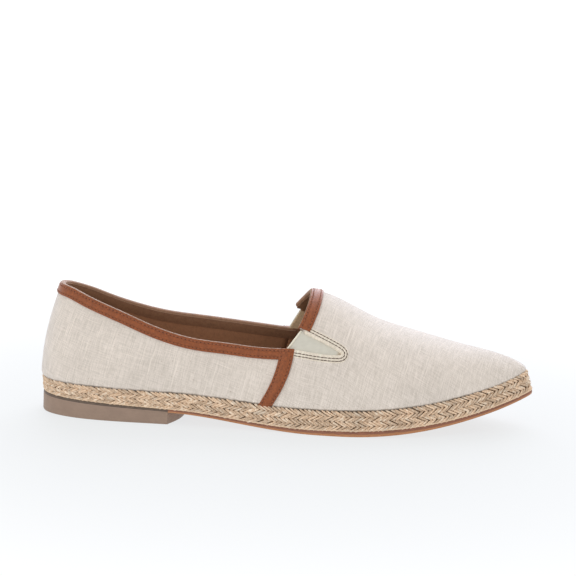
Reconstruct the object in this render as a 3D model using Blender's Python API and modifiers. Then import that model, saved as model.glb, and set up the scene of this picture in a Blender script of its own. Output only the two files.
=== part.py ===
"""A slip-on loafer for the right foot, with a pointed toe, a low heel and a plaited jute rand.

The upper is linen, edged with leather at the collar and the throat. A leather strip covers each
side seam, and an elastic gore fills the notch beside the throat on both sides. The upper stands on
a midsole that the jute plait wraps. Below them lie a thin outsole and a low D-shaped heel.

+X points to the toe, +Y to the inner (medial) side of a right foot, +Z up. The origin is on the
floor, at the middle of the shoe's length and width. Lengths in the tables and functions are in
millimetres from the back of the heel, and make_object turns them into metres.
"""
import math

import bmesh
import bpy
import numpy as np
from mathutils import Vector

MM = 0.001

# Driving dimensions of the whole shoe, in millimetres.
BACK_X = -0.4
TIP_X = 266.9
LENGTH = TIP_X - BACK_X
GAP = 0.3
WALL = 1.8

# Outline of the rand seen from above: a row for each section across the shoe.
# x from the back of the heel, then the reach to the lateral and to the medial side.
OUTLINE_COLUMNS = ("x", "lateral", "medial")
OUTLINE = (
    (2.4, 12.4, 12.2),
    (9.5, 20.6, 20.2),
    (24.0, 27.9, 27.0),
    (45.0, 31.6, 29.8),
    (70.0, 33.2, 29.2),
    (100.0, 35.6, 28.4),
    (130.0, 40.0, 31.4),
    (155.0, 43.4, 36.6),
    (175.0, 43.8, 40.2),
    (195.0, 40.9, 40.9),
    (215.0, 34.0, 37.6),
    (235.0, 23.6, 30.6),
    (250.0, 13.8, 22.8),
    (260.0, 5.2, 14.9),
)
TIP_Y = 5.0

# Height of the sole's underside: the heel seat slopes, the waist comes down, the ball lies flat
# on the floor, and the toe springs up.
SEAT_HEIGHT = 8.9
SEAT_SLOPE = -0.033
WAIST_START, WAIST_END = 74.0, 150.5
SPRING_START = 162.5
TOE_SPRING = 17.8

# What stands on the outsole, by x. Heights are taken at right angles to the sole. The rand's foot
# is drawn in under its top at the heel, and the outsole lies a little inside the outline.
SOLE_COLUMNS = ("x", "outsole thickness", "outsole inset", "rand height", "rand foot inset")
SOLE = (
    (0.0, 1.9, 1.4, 8.0, 1.1),
    (40.0, 1.8, 1.2, 8.5, 0.8),
    (75.0, 1.7, 0.9, 8.9, 0.4),
    (110.0, 2.0, 0.7, 9.8, 0.1),
    (150.0, 2.7, 0.6, 10.5, 0.0),
    (190.0, 3.1, 0.6, 10.4, 0.0),
    (225.0, 2.6, 0.6, 10.7, 0.0),
    (250.0, 2.4, 0.5, 10.7, 0.0),
    (267.0, 2.0, 0.4, 10.2, 0.0),
)
# How far the linen swells past the arch of its rib just above the rand, by x.
BULGE_COLUMNS = ("x", "bulge")
BULGE = ((0.0, 2.3), (30.0, 2.1), (75.0, 1.6), (150.0, 1.5), (225.0, 1.7), (267.0, 4.1))
HEEL_INSET = 1.3
HEEL_BREAST_X = 70.6
HEEL_BREAST_BULGE = 8.0
HEEL_EDGE = 0.6
RAND_WALL = 2.8
RAND_REBATE = 1.1
RAND_OVERLAP = 3.0
FEATHER_INSET = RAND_WALL - RAND_REBATE + GAP
INSOLE_THICKNESS = 2.0
INSOLE_CLEARANCE = 0.8

# The last's crest line, which the ribs of the upper climb to. Behind the throat it is the top of
# the last's cone, which the opening cuts away. squareness is the exponent of each rib's arch.
CREST_COLUMNS = ("x", "y", "z", "squareness")
CREST = (
    (40.0, 0.0, 95.0, 2.50),
    (70.0, 0.0, 92.0, 2.25),
    (100.0, 0.0, 85.5, 2.05),
    (125.0, 0.2, 77.0, 2.00),
    (143.0, 0.5, 70.3, 2.00),
    (151.0, 0.7, 69.1, 2.02),
    (158.0, 0.8, 66.7, 2.05),
    (170.0, 1.1, 60.9, 2.08),
    (182.0, 1.4, 55.3, 2.12),
    (197.0, 1.9, 50.8, 2.16),
    (213.0, 2.6, 46.6, 2.18),
    (229.0, 3.4, 42.7, 2.16),
    (242.0, 4.0, 40.1, 2.12),
    (254.0, 4.6, 37.2, 2.08),
    (267.0, 5.0, 35.0, 2.05),
)
CREST_BACK_X = 46.0
CREST_TIP_X = 247.0
FAN_BACK_END = 92.0
FAN_TOE_START = 214.0
BULGE_RISE = 2.6
BULGE_FADE = 45.0
LEAN_FADE = 8.0

# Height of the quarter's top edge on each side, by x.
TOPLINE_COLUMNS = ("x", "lateral z", "medial z")
TOPLINE = (
    (8.6, 68.7, 68.7),
    (16.0, 68.2, 65.6),
    (23.0, 65.9, 62.9),
    (35.0, 61.5, 58.0),
    (47.0, 57.1, 54.2),
    (59.0, 52.4, 51.4),
    (70.0, 48.8, 49.8),
    (84.0, 45.8, 48.7),
    (100.0, 44.4, 47.3),
    (117.0, 43.1, 45.5),
    (133.0, 43.1, 43.6),
)
GORE_CORNER_X = 132.8
THROAT_CREST_X = 145.2

# How finely the upper is cut: ribs along the shoe, and rows up to the collar and on to the crest.
QUARTER_STEPS = 15
THROAT_STEPS = 4
THROAT_END_X = 160.0
VAMP_STEPS = 14
COLLAR_ROWS = 6
CREST_ROWS = 7
TOE_LEVEL = 0.62

# Where the throat's binding ends on each side, and the notch for the elastic gore below it. The
# notch narrows evenly in side view, from the free edge to its tip in the vamp: NOTCH_POWER gives the
# roundness of that tip, and the two ends say how far along its edge the free edge meets it.
LATERAL, MEDIAL = -1, 1
THROAT_SWEEP = {LATERAL: 2.5, MEDIAL: 2.0}
NOTCH_COLUMNS = (
    "corner x",
    "corner q",
    "back x",
    "back z",
    "tip x",
    "tip z",
    "half width",
    "low end",
    "high end",
)
NOTCH = {
    LATERAL: (139.4, 0.515, 138.7, 48.2, 161.7, 42.6, 4.5, -1.12, 1.0),
    MEDIAL: (137.0, 0.575, 138.1, 50.0, 161.4, 44.0, 5.5, -1.10, 1.02),
}
NOTCH_POWER = 1.54
NOTCH_OVERRUN = 1.25
NOTCH_CUT_OUT, NOTCH_CUT_IN = 3.0, 4.5
GORE_THICKNESS = 1.0
GORE_RECESS = 0.5

BINDING_WIDTH = 4.9
BINDING_THICKNESS = 0.9
BINDING_FOLD = 1.1
BINDING_INNER_WIDTH = 3.2
STRIP_WIDTH = 7.5
STRIP_FOOT_WIDTH = 6.9
STRIP_TOP_X = 129.4
STRIP_FOOT_X = 118.2
STRIP_LIFT = 1.1
STRIP_CURVE = 0.8

# The plait: strands lean one way and then the other in its rows.
PLAIT_PITCH = 5.2
PLAIT_ROWS = 4
PLAIT_RELIEF = 0.3
PLAIT_EDGE_DROP = 0.6

COLOURS = {
    "linen": ((0.74, 0.69, 0.61), 0.9, 0.0),
    "leather": ((0.36, 0.13, 0.06), 0.5, 0.0),
    "elastic": ((0.66, 0.65, 0.57), 0.85, 0.0),
    "jute": ((0.56, 0.41, 0.25), 0.95, 0.0),
    "outsole": ((0.42, 0.18, 0.08), 0.45, 0.0),
    "heel": ((0.33, 0.24, 0.19), 0.6, 0.0),
    "lining": ((0.10, 0.05, 0.03), 0.6, 0.0),
}


def cubic(knots, values, period=None):
    """The smooth curve through the knots: natural at its ends, or closed with a period."""
    t = np.array(knots, float)
    y = np.array(values, float)
    if period:
        t = np.append(t, t[0] + period)
        y = np.append(y, y[0])
    h = np.diff(t)
    slope = np.diff(y) / h
    n = len(t)
    matrix = np.zeros((n, n))
    right = np.zeros(n)
    for i in range(1, n - 1):
        matrix[i, i - 1 : i + 2] = (h[i - 1], 2 * (h[i - 1] + h[i]), h[i])
        right[i] = 6 * (slope[i] - slope[i - 1])
    matrix[0, 0] = matrix[-1, -1] = 1
    if period:
        matrix[0, -1] = -1
        matrix[-1, -2:] = (h[-1], 0)
        matrix[-1, :2] = (2 * (h[-1] + h[0]), h[0])
        right[-1] = 6 * (slope[0] - slope[-1])
    bend = np.linalg.solve(matrix, right)

    def at(x):
        if period:
            x = t[0] + (x - t[0]) % period
        x = min(max(x, t[0]), t[-1])
        i = int(np.clip(np.searchsorted(t, x, side="right") - 1, 0, n - 2))
        a = (t[i + 1] - x) / h[i]
        b = (x - t[i]) / h[i]
        bent = (a**3 - a) * bend[i] + (b**3 - b) * bend[i + 1]
        return float(a * y[i] + b * y[i + 1] + bent * h[i] ** 2 / 6)

    return at


def column(table, columns, name):
    """One column of a table as a smooth function of its x."""
    x = [row[0] for row in table]
    return cubic(x, [row[columns.index(name)] for row in table])


def smooth(t):
    t = min(max(t, 0.0), 1.0)
    return t * t * (3 - 2 * t)


# r runs round the shoe: -1 at the toe, lateral side, 0 at the back of the heel, medial side, 1 at
# the toe again. q runs up a rib of the last, 0 at the feather edge and 1 at the crest.


def rib_of(x):
    """The share |r| whose section of the rand lies at x."""
    return math.acos(1 - 2 * (x - BACK_X) / LENGTH) / math.pi


def outline_reach():
    lateral = [(-rib_of(row[0]), -row[1]) for row in reversed(OUTLINE)]
    medial = [(rib_of(row[0]), row[2]) for row in OUTLINE]
    knots = [(-1.0, TIP_Y)] + lateral + [(0.0, 0.0)] + medial
    return cubic([k[0] for k in knots], [k[1] for k in knots], period=2.0)


reach = outline_reach()
outsole_thickness = column(SOLE, SOLE_COLUMNS, "outsole thickness")
outsole_inset = column(SOLE, SOLE_COLUMNS, "outsole inset")
rand_height = column(SOLE, SOLE_COLUMNS, "rand height")
rand_foot_inset = column(SOLE, SOLE_COLUMNS, "rand foot inset")
bulge = column(BULGE, BULGE_COLUMNS, "bulge")
crest_y = column(CREST, CREST_COLUMNS, "y")
crest_z = column(CREST, CREST_COLUMNS, "z")
squareness = column(CREST, CREST_COLUMNS, "squareness")
topline_lateral = column(TOPLINE, TOPLINE_COLUMNS, "lateral z")
topline_medial = column(TOPLINE, TOPLINE_COLUMNS, "medial z")


def section_x(r):
    return BACK_X + LENGTH * (1 - math.cos(math.pi * r)) / 2


def outline(r, inset=0.0):
    """The point of the rand's outline at r, moved inwards by inset."""
    step = 1e-4
    tangent = Vector((section_x(r + step) - section_x(r - step), reach(r + step) - reach(r - step)))
    tangent.normalize()
    return Vector((section_x(r) + tangent.y * inset, reach(r) - tangent.x * inset))


def sole_bottom(x):
    if x < WAIST_END:
        seat = SEAT_HEIGHT + SEAT_SLOPE * x
        return seat * (1 - smooth((x - WAIST_START) / (WAIST_END - WAIST_START)))
    return TOE_SPRING * (max(x - SPRING_START, 0) / (TIP_X - SPRING_START)) ** 2


def sole_top(x):
    return sole_bottom(x) + outsole_thickness(x)


def sole_slope(x):
    return sole_top(x + 0.5) - sole_top(x - 0.5)


def raised(r, inset, height):
    """The point that stands over the outline at r, lifted off the sole at right angles to it."""
    edge = outline(r, inset)
    slope = sole_slope(edge.x)
    lift = height / math.hypot(1, slope)
    return Vector((edge.x - slope * lift, edge.y, sole_top(edge.x) + lift))


def feather_height(r):
    """How high above the sole the upper's lower edge sits, inside the rand."""
    return rand_height(section_x(r)) - RAND_OVERLAP


def crest_x(x):
    """Where the rib whose foot is at x meets the crest: the ribs fan out at the heel and the toe."""
    if x < FAN_BACK_END:
        t = max(x, 0.0) / FAN_BACK_END
        lift = CREST_BACK_X
        return x + lift * (1 - t) ** 2 * (1 + t * (2 - FAN_BACK_END / lift) * 0.5)
    if x > FAN_TOE_START:
        t = min((x - FAN_TOE_START) / (TIP_X - FAN_TOE_START), 1.0)
        return x - (TIP_X - CREST_TIP_X) * t**2
    return x


def surface(r, q):
    """The outer face of the upper. Past the crest it goes on down the other side."""
    if q > 1:
        r, q = -r, 2 - q
    r = (r + 1) % 2 - 1
    q = max(q, 0.0)
    foot = raised(r, FEATHER_INSET, feather_height(r))
    top_x = crest_x(section_x(r))
    crest = Vector((top_x, crest_y(top_x)))
    power = 2 / squareness(top_x)
    inward = math.cos(q * math.pi / 2) ** power
    upward = math.sin(q * math.pi / 2) ** power
    plan = crest + (foot.xy - crest) * inward
    z = foot.z + (crest_z(plan.x) - foot.z) * upward
    climb = min(z - foot.z, LEAN_FADE)
    plan.x -= sole_slope(foot.x) * climb * (1 - climb / (2 * LEAN_FADE)) * inward
    above = z - foot.z - RAND_OVERLAP
    puff = bulge(foot.x) * smooth(above / BULGE_RISE)
    puff *= 1 - smooth((above - BULGE_RISE) / BULGE_FADE)
    outward = outline(r, 0.0) - outline(r, 1.0)
    plan += outward * puff * inward
    return Vector((plan.x, plan.y, z))


def tangents(r, q):
    step = 1e-4
    along = (surface(r + step, q) - surface(r - step, q)) / (2 * step)
    up = (surface(r, q + step) - surface(r, q - step)) / (2 * step)
    return along, up


def normal(r, q):
    along, up = tangents(r, min(max(q, 0.002), 1.998))
    return up.cross(along).normalized()


def walk(r, q, heading, distance):
    """The place (r, q) reached by going that far over the surface towards heading."""
    steps = max(1, math.ceil(distance / 1.5))
    for _ in range(steps):
        along, up = tangents(r, q)
        face = up.cross(along).normalized()
        flat = heading - face * heading.dot(face)
        go = flat.normalized() * (distance / steps)
        system = np.array([along[:], up[:]]).T
        move = np.linalg.lstsq(system, np.array(go[:]), rcond=None)[0]
        r, q = r + float(move[0]), q + float(move[1])
    return r, q


def locate(x, z, side):
    """The place (r, q) that is seen at (x, z) from that side."""
    r, q = side * rib_of(x), 0.35
    for _ in range(12):
        here = surface(r, q)
        along, up = tangents(r, q)
        system = np.array([[along.x, up.x], [along.z, up.z]])
        move = np.linalg.solve(system, np.array([x - here.x, z - here.z]))
        r, q = r + float(move[0]), min(max(q + float(move[1]), 0.01), 0.99)
    return r, q


def rib_at(x, q, side):
    """The rib r that passes x at the height q."""
    r = side * rib_of(x)
    for _ in range(8):
        r += (x - surface(r, q).x) / tangents(r, q)[0].x
    return r


def climb(r, reached):
    """How far up the rib at r the height q lies where reached(point) first comes true."""
    low, high = 0.0, 0.95
    for _ in range(26):
        middle = (low + high) / 2
        if reached(surface(r, middle)):
            high = middle
        else:
            low = middle
    return high


def topline_q(r):
    """How far up the rib at r the quarter's top edge lies."""
    line = topline_lateral if r < 0 else topline_medial
    return climb(r, lambda point: point.z > line(point.x))


def quarter_stops(side):
    """The quarter's ribs on one side, from the heel to the last one before the gore."""
    end = abs(rib_at(GORE_CORNER_X, 0.4, side))
    return [side * max(end * k / QUARTER_STEPS, 1e-6) for k in range(QUARTER_STEPS)]


def notch_value(side, name):
    return NOTCH[side][NOTCH_COLUMNS.index(name)]


def throat_rib(q, side):
    """The rib on which the throat's edge lies at the height q. The edge runs from the collar up
    along the gore to the binding's end, and then on over to the crest."""
    corner_x = notch_value(side, "corner x")
    corner_q = notch_value(side, "corner q")
    if q < corner_q:
        start = collar_q(side)
        x = GORE_CORNER_X + (corner_x - GORE_CORNER_X) * (q - start) / (corner_q - start)
    else:
        t = (1 - q) / (1 - corner_q)
        x = THROAT_CREST_X - (THROAT_CREST_X - corner_x) * t ** THROAT_SWEEP[side]
    return rib_at(x, min(q, 0.999), side)


def collar_q(side):
    """The height of the collar's edge where it meets the gore."""
    return topline_q(rib_at(GORE_CORNER_X, 0.4, side))


def crest_rows(start):
    """The heights of the rows from that level to the crest."""
    return [start + (1 - start) * k / CREST_ROWS for k in range(1, CREST_ROWS + 1)]


def binding_rows(side):
    """The heights at which the throat's binding is cut: its end, then the upper's own rows."""
    corner = notch_value(side, "corner q")
    return [corner] + [q for q in crest_rows(collar_q(side)) if q > corner + 0.03]


def make_object(name, points, faces, colour, closed=True):
    """A mesh object from points in millimetres, with the origin moved to the middle of the shoe."""
    bm = bmesh.new()
    corners = [bm.verts.new(to_metres(p)) for p in points]
    for face in faces:
        bm.faces.new([corners[i] for i in face])
    if closed:
        bmesh.ops.recalc_face_normals(bm, faces=bm.faces)
    mesh = bpy.data.meshes.new(name)
    bm.to_mesh(mesh)
    bm.free()
    obj = bpy.data.objects.new(name, mesh)
    parts.objects.link(obj)
    mesh.materials.append(material(colour))
    mesh.shade_smooth()
    mesh.set_sharp_from_angle(angle=math.radians(35))
    return obj


def to_metres(point):
    x, y, z = point
    return (x - MIDDLE_X) * MM, (y - MIDDLE_Y) * MM, z * MM


def material(name):
    found = bpy.data.materials.get(name)
    if found:
        return found
    colour, roughness, metallic = COLOURS[name]
    made = bpy.data.materials.new(name)
    made.use_nodes = True
    shader = made.node_tree.nodes["Principled BSDF"]
    shader.inputs["Base Color"].default_value = (*colour, 1)
    shader.inputs["Roughness"].default_value = roughness
    shader.inputs["Metallic"].default_value = metallic
    return made


def plate(name, low_edge, high_edge, colour, stations=44):
    """A slab with the shoe's outline. The two functions give its lower and upper edge at r."""
    ring = [k / stations for k in range(-stations + 1, stations + 1)]
    points = [low_edge(r) for r in ring] + [high_edge(r) for r in ring]
    n = len(ring)
    back = stations - 1
    faces = [(k, (k + 1) % n, n + (k + 1) % n, n + k) for k in range(n)]
    for level in (0, n):
        faces.append((level + back, level + back - 1, level + back + 1))
        for k in range(1, stations - 1):
            lateral, medial = level + back - k, level + back + k
            faces.append((lateral, lateral - 1, medial + 1, medial))
        faces.append((level, level + n - 1, level + n - 2))
    return make_object(name, points, faces, colour)


def outsole():
    def edge(level):
        def at(r):
            spot = outline(r, outsole_inset(section_x(r)))
            return spot.x, spot.y, level(spot.x)

        return at

    return plate("outsole", edge(sole_bottom), edge(sole_top), "outsole")


def midsole():
    """The core that the rand wraps."""
    inset = RAND_WALL + GAP
    return plate(
        "midsole",
        lambda r: raised(r, inset, GAP),
        lambda r: raised(r, inset, feather_height(r) - GAP),
        "jute",
    )


def insole():
    inset = FEATHER_INSET + WALL + INSOLE_CLEARANCE
    return plate(
        "insole",
        lambda r: raised(r, inset, feather_height(r)),
        lambda r: raised(r, inset, feather_height(r) + INSOLE_THICKNESS),
        "lining",
    )


def heel():
    """The low heel: the outline of the seat, closed in front by a breast that bows forward."""
    end = rib_of(HEEL_BREAST_X)
    count = 22
    edge = [outline(end * k / count, HEEL_INSET) for k in range(-count, count + 1)]
    first, last = edge[0], edge[-1]
    breast = []
    for k in range(1, 10):
        t = k / 10
        bow = HEEL_BREAST_BULGE * 4 * t * (1 - t)
        breast.append(last.lerp(first, t) + Vector((bow, 0)))
    loop = edge + breast
    n = len(loop)
    points = [(p.x, p.y, 0.0) for p in loop]
    points += [(p.x, p.y, SEAT_HEIGHT + SEAT_SLOPE * p.x - GAP) for p in loop]
    faces = [tuple(range(n)), tuple(range(n, 2 * n))]
    faces += [(k, (k + 1) % n, n + (k + 1) % n, n + k) for k in range(n)]
    made = make_object("heel", points, faces, "heel")
    bevel = made.modifiers.new("edge", "BEVEL")
    bevel.width = HEEL_EDGE * MM
    bevel.segments = 1
    bevel.limit_method = "ANGLE"
    bevel.angle_limit = math.radians(50)
    return made


def rand():
    """The jute plait round the sole. Strands stand proud and lean alternately in its rows."""
    perimeter = sum(
        (outline(k / 200) - outline((k - 1) / 200)).length for k in range(-199, 201)
    )
    columns = 2 * round(perimeter / PLAIT_PITCH)
    rows = PLAIT_ROWS + 1
    points = []
    for k, r in enumerate(even_stops(columns)):
        station = section_x(r)
        height = rand_height(station)
        for row in range(rows):
            raised_by = PLAIT_RELIEF if (k + row) % 2 == 0 else -PLAIT_RELIEF
            inset = PLAIT_EDGE_DROP if row in (0, rows - 1) else 0.0
            inset += rand_foot_inset(station) * row / PLAIT_ROWS - raised_by
            points.append(raised(r, inset, height + (GAP - height) * row / PLAIT_ROWS))
        rebate = feather_height(r) - GAP
        points.append(raised(r, RAND_WALL, GAP))
        points.append(raised(r, RAND_WALL, rebate))
        points.append(raised(r, RAND_WALL - RAND_REBATE, rebate))
        points.append(raised(r, RAND_WALL - RAND_REBATE, height))
    ring = rows + 4
    faces = []
    for k in range(columns):
        a, b = k * ring, (k + 1) % columns * ring
        for row in range(PLAIT_ROWS):
            corners = (a + row, b + row, b + row + 1, a + row + 1)
            first = row % 2
            second = (first + 2) % 4
            for start, end in ((first, second), (second, first)):
                faces.append((corners[start], corners[(start + 1) % 4], corners[end]))
        for row in range(PLAIT_ROWS, ring):
            nxt = (row + 1) % ring
            faces.append((a + row, b + row, b + nxt, a + nxt))
    return make_object("rand", points, faces, "jute")


def even_stops(count):
    """count values of r, spaced evenly along the outline."""
    fine = [k / 800 for k in range(-800, 801)]
    run = [0.0]
    for a, b in zip(fine, fine[1:]):
        run.append(run[-1] + (outline(b) - outline(a)).length)
    return [float(np.interp(run[-1] * k / count, run, fine)) for k in range(count)]


def collar_rows(r, top):
    """The heights of a rib's rows up to the collar's level: two follow the rand's top."""
    foot = surface(r, 0.0).z + RAND_OVERLAP
    first = [climb(r, lambda point: point.z > foot + lift) for lift in (0.0, BULGE_RISE)]
    count = COLLAR_ROWS - 2
    return [0.0, first[0]] + [first[1] + (top - first[1]) * k / count for k in range(count + 1)]


def upper_columns(side):
    """The columns of places (r, q) that the upper is made of, from the heel to the toe."""
    columns = []
    for r in quarter_stops(side):
        columns.append([(r, q) for q in collar_rows(r, topline_q(r))])
    start = collar_q(side)
    rows = crest_rows(start)
    edge = [throat_rib(q, side) for q in rows]
    first, last = rib_at(GORE_CORNER_X, start, side), side * rib_of(THROAT_END_X)
    for k in range(THROAT_STEPS):
        share = k / THROAT_STEPS
        foot = first + (last - first) * share
        column = [(foot, q) for q in collar_rows(foot, start)]
        column += [(r + (last - r) * share, q) for r, q in zip(edge, rows)]
        columns.append(column)
    for k in range(VAMP_STEPS + 1):
        r = last + (side - last) * k / VAMP_STEPS
        level = start + (TOE_LEVEL - start) * smooth(k / VAMP_STEPS)
        columns.append([(r, q) for q in collar_rows(r, level) + crest_rows(level)])
    return columns


def upper():
    """The linen upper: its outer face, given a wall, and notched for the gores."""
    columns = upper_columns(LATERAL)[::-1] + upper_columns(MEDIAL)[1:-1]
    n = len(columns)
    points, index = [], {}
    for k, column in enumerate(columns):
        for row, (r, q) in enumerate(column):
            if q > 0.9999 and (n - k, row) in index:
                index[k, row] = index[n - k, row]
                continue
            index[k, row] = len(points)
            points.append(surface(r, q))
    faces = []
    for k in range(n):
        nxt = (k + 1) % n
        for row in range(min(len(columns[k]), len(columns[nxt])) - 1):
            loop = (index[k, row], index[k, row + 1], index[nxt, row + 1], index[nxt, row])
            faces.append(tuple(dict.fromkeys(loop)))
    made = make_object("upper", points, faces, "linen", closed=False)
    wall = made.modifiers.new("wall", "SOLIDIFY")
    wall.thickness = WALL * MM
    wall.offset = -1
    wall.use_even_offset = True
    wall.use_quality_normals = True
    for side in (LATERAL, MEDIAL):
        cut = made.modifiers.new("notch", "BOOLEAN")
        cut.operation = "DIFFERENCE"
        cut.object = notch_cutter(side)
    return made


def notch_point(side, w, inset=0.0):
    """A point of the notch's edge in side view, as (x, z). w is 0 at the tip and grows upwards."""
    back = Vector((notch_value(side, "back x"), notch_value(side, "back z")))
    tip = Vector((notch_value(side, "tip x"), notch_value(side, "tip z")))
    axis = (tip - back).normalized()
    along = ((tip - back).length - inset) * (1 - abs(w) ** NOTCH_POWER)
    across = (notch_value(side, "half width") - inset) * w
    return back + axis * along + Vector((-axis.y, axis.x)) * across


def notch_spots(side, low, high, inset, across=9, along=6):
    """Rows of (x, z) that fill the notch between w = low and w = high, up to a straight free edge."""
    first, last = notch_point(side, low, inset), notch_point(side, high, inset)
    rows = []
    for i in range(across + 1):
        share = (i + 0.3) / (across + 0.6)
        start = first.lerp(last, share)
        end = notch_point(side, low + (high - low) * share, inset)
        rows.append([start.lerp(end, k / along) for k in range(along + 1)])
    return rows


def patch(name, side, rows, height, thickness, colour):
    """A sheet that lies over the upper. rows hold (x, z), and its outer face is at that height."""
    points = []
    for row in rows:
        for spot in row:
            place = locate(spot[0], spot[1], side)
            points.append(surface(*place) + normal(*place) * height)
    n = len(rows[0])
    faces = []
    for i in range(len(rows) - 1):
        for k in range(n - 1):
            corner = i * n + k
            faces.append((corner, corner + 1, corner + n + 1, corner + n)[::-side])
    made = make_object(name, points, faces, colour, closed=False)
    wall = made.modifiers.new("wall", "SOLIDIFY")
    wall.thickness = thickness * MM
    wall.offset = -1
    wall.use_even_offset = True
    wall.use_quality_normals = True
    return made


def notch_cutter(side):
    spots = notch_spots(side, -NOTCH_OVERRUN, NOTCH_OVERRUN, 0.0, across=18)
    depth = NOTCH_CUT_OUT + NOTCH_CUT_IN
    cutter = patch(f"notch_cutter_{side}", side, spots, NOTCH_CUT_OUT, depth, "linen")
    parts.objects.unlink(cutter)
    cutters.objects.link(cutter)
    cutter.hide_render = True
    cutter.display_type = "WIRE"
    return cutter


def ribbon(name, path, profile, colour):
    """A strip swept over the upper.

    path is a list of (r, q, heading): heading points over the surface, away from the path.
    profile is a closed loop of (width over the surface, height above it).
    """
    points = []
    for r, q, heading in path:
        face = normal(r, q)
        flat = (heading - face * heading.dot(face)).normalized()
        edge = surface(r, q)
        for width, height in profile:
            if width <= 0:
                points.append(edge + flat * width + face * height)
            else:
                place = walk(r, q, flat, width)
                points.append(surface(*place) + normal(*place) * height)
    m, n = len(profile), len(path)
    faces = []
    for k in range(n - 1):
        for i in range(m):
            j = (i + 1) % m
            faces.append((k * m + i, k * m + j, (k + 1) * m + j, (k + 1) * m + i))
    faces.append(tuple(range(m)))
    faces.append(tuple((n - 1) * m + i for i in range(m)))
    return make_object(name, points, faces, colour)


def headings(places, sign):
    """Adds to each place of a path the direction at right angles to the path, over the surface."""
    spots = [surface(*place) for place in places]
    path = []
    for k, place in enumerate(places):
        before, after = spots[max(k - 1, 0)], spots[min(k + 1, len(spots) - 1)]
        path.append((*place, normal(*place).cross(after - before) * sign))
    return path


def binding_profile():
    """A U that folds over the upper's edge, with its outer leg wider than its inner one."""
    outer, inner = GAP + BINDING_THICKNESS, -WALL - GAP - BINDING_THICKNESS
    return [
        (BINDING_WIDTH, GAP),
        (BINDING_WIDTH - 0.2, outer - 0.1),
        (0.5, outer),
        (-BINDING_FOLD, 0.1),
        (-BINDING_FOLD, -WALL - 0.1),
        (0.5, inner),
        (BINDING_INNER_WIDTH, inner + 0.1),
        (BINDING_INNER_WIDTH, -WALL - GAP),
        (-GAP - 0.1, -WALL - GAP),
        (-GAP - 0.1, GAP),
        (BINDING_WIDTH / 2, GAP),
    ]


def quarter_binding():
    """The leather edge of the collar, from one side strip round the heel to the other."""
    lateral, medial = quarter_stops(LATERAL), quarter_stops(MEDIAL)
    end = STRIP_TOP_X - 2 * GAP
    lateral.append(locate(end, topline_lateral(end), LATERAL)[0])
    medial.append(locate(end, topline_medial(end), MEDIAL)[0])
    places = [(r, topline_q(r)) for r in lateral[:0:-1] + medial]
    return ribbon("quarter_binding", headings(places, 1), binding_profile(), "leather")


def throat_binding():
    """The leather edge of the throat, over the crest from one gore to the other."""
    places = [(throat_rib(q, LATERAL), q) for q in binding_rows(LATERAL)]
    places += [(-throat_rib(q, MEDIAL), 2 - q) for q in binding_rows(MEDIAL)[-2::-1]]
    return ribbon("throat_binding", headings(places, -1), binding_profile(), "leather")


def side_strip(side):
    """The leather strip over the side seam, from the collar down to the rand."""
    name = "side_strip_lateral" if side == LATERAL else "side_strip_medial"
    line = topline_lateral if side == LATERAL else topline_medial
    across, down = 2, 10
    rows = []
    for i in range(across + 1):
        top_x = STRIP_TOP_X + STRIP_WIDTH * i / across
        foot_x = STRIP_FOOT_X + STRIP_FOOT_WIDTH * i / across
        top = line(top_x) + 0.6
        foot = sole_top(foot_x) + rand_height(foot_x) + STRIP_LIFT
        row = []
        for k in range(down + 1):
            t = k / down
            share = (1 - STRIP_CURVE) * t + STRIP_CURVE * t * t
            row.append((top_x + (foot_x - top_x) * share, top + (foot - top) * t))
        rows.append(row)
    height = GAP + 0.1 + BINDING_THICKNESS
    return patch(name, side, rows[::-1], height, BINDING_THICKNESS, "leather")


def gore(side):
    """The elastic panel that fills the notch, set a little below the linen."""
    name = "gore_lateral" if side == LATERAL else "gore_medial"
    low, high = notch_value(side, "low end"), notch_value(side, "high end")
    rows = notch_spots(side, low, high, GAP + 0.1)
    return patch(name, side, rows, -GORE_RECESS, GORE_THICKNESS, "elastic")


def main():
    outsole()
    heel()
    midsole()
    insole()
    rand()
    upper()
    quarter_binding()
    throat_binding()
    for side in (LATERAL, MEDIAL):
        side_strip(side)
        gore(side)


def clear_scene():
    for obj in list(bpy.data.objects):
        bpy.data.objects.remove(obj)


clear_scene()
parts = bpy.data.collections.new("loafer")
cutters = bpy.data.collections.new("cutters")
for collection in (parts, cutters):
    bpy.context.scene.collection.children.link(collection)
cutters.hide_render = True
MIDDLE_X = 132.9
MIDDLE_Y = -1.4
main()
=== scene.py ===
import math

import bmesh
import bpy
import numpy as np
from mathutils import Matrix, Vector


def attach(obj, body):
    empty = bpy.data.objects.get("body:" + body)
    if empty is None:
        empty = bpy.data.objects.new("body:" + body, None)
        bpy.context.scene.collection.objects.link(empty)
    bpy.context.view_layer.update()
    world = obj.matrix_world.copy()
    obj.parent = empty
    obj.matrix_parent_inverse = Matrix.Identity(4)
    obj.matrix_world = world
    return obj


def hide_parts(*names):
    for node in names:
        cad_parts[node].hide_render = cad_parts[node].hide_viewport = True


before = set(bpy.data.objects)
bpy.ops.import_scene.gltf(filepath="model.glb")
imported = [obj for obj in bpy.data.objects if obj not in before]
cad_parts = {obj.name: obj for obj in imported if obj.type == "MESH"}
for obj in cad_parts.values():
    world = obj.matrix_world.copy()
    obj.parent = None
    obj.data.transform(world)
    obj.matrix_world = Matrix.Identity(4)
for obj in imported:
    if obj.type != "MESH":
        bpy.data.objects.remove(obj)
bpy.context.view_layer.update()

MM = 0.001
BACK_X, TIP_X, TIP_Y = -0.4, 266.9, 5.0
LENGTH = TIP_X - BACK_X
MIDDLE = np.array((132.9, -1.4, 0.0))
GAP, WALL = 0.3, 1.8
STEP = 1e-4
LATERAL, MEDIAL = -1, 1
SIDES = {LATERAL: "lateral", MEDIAL: "medial"}

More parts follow.
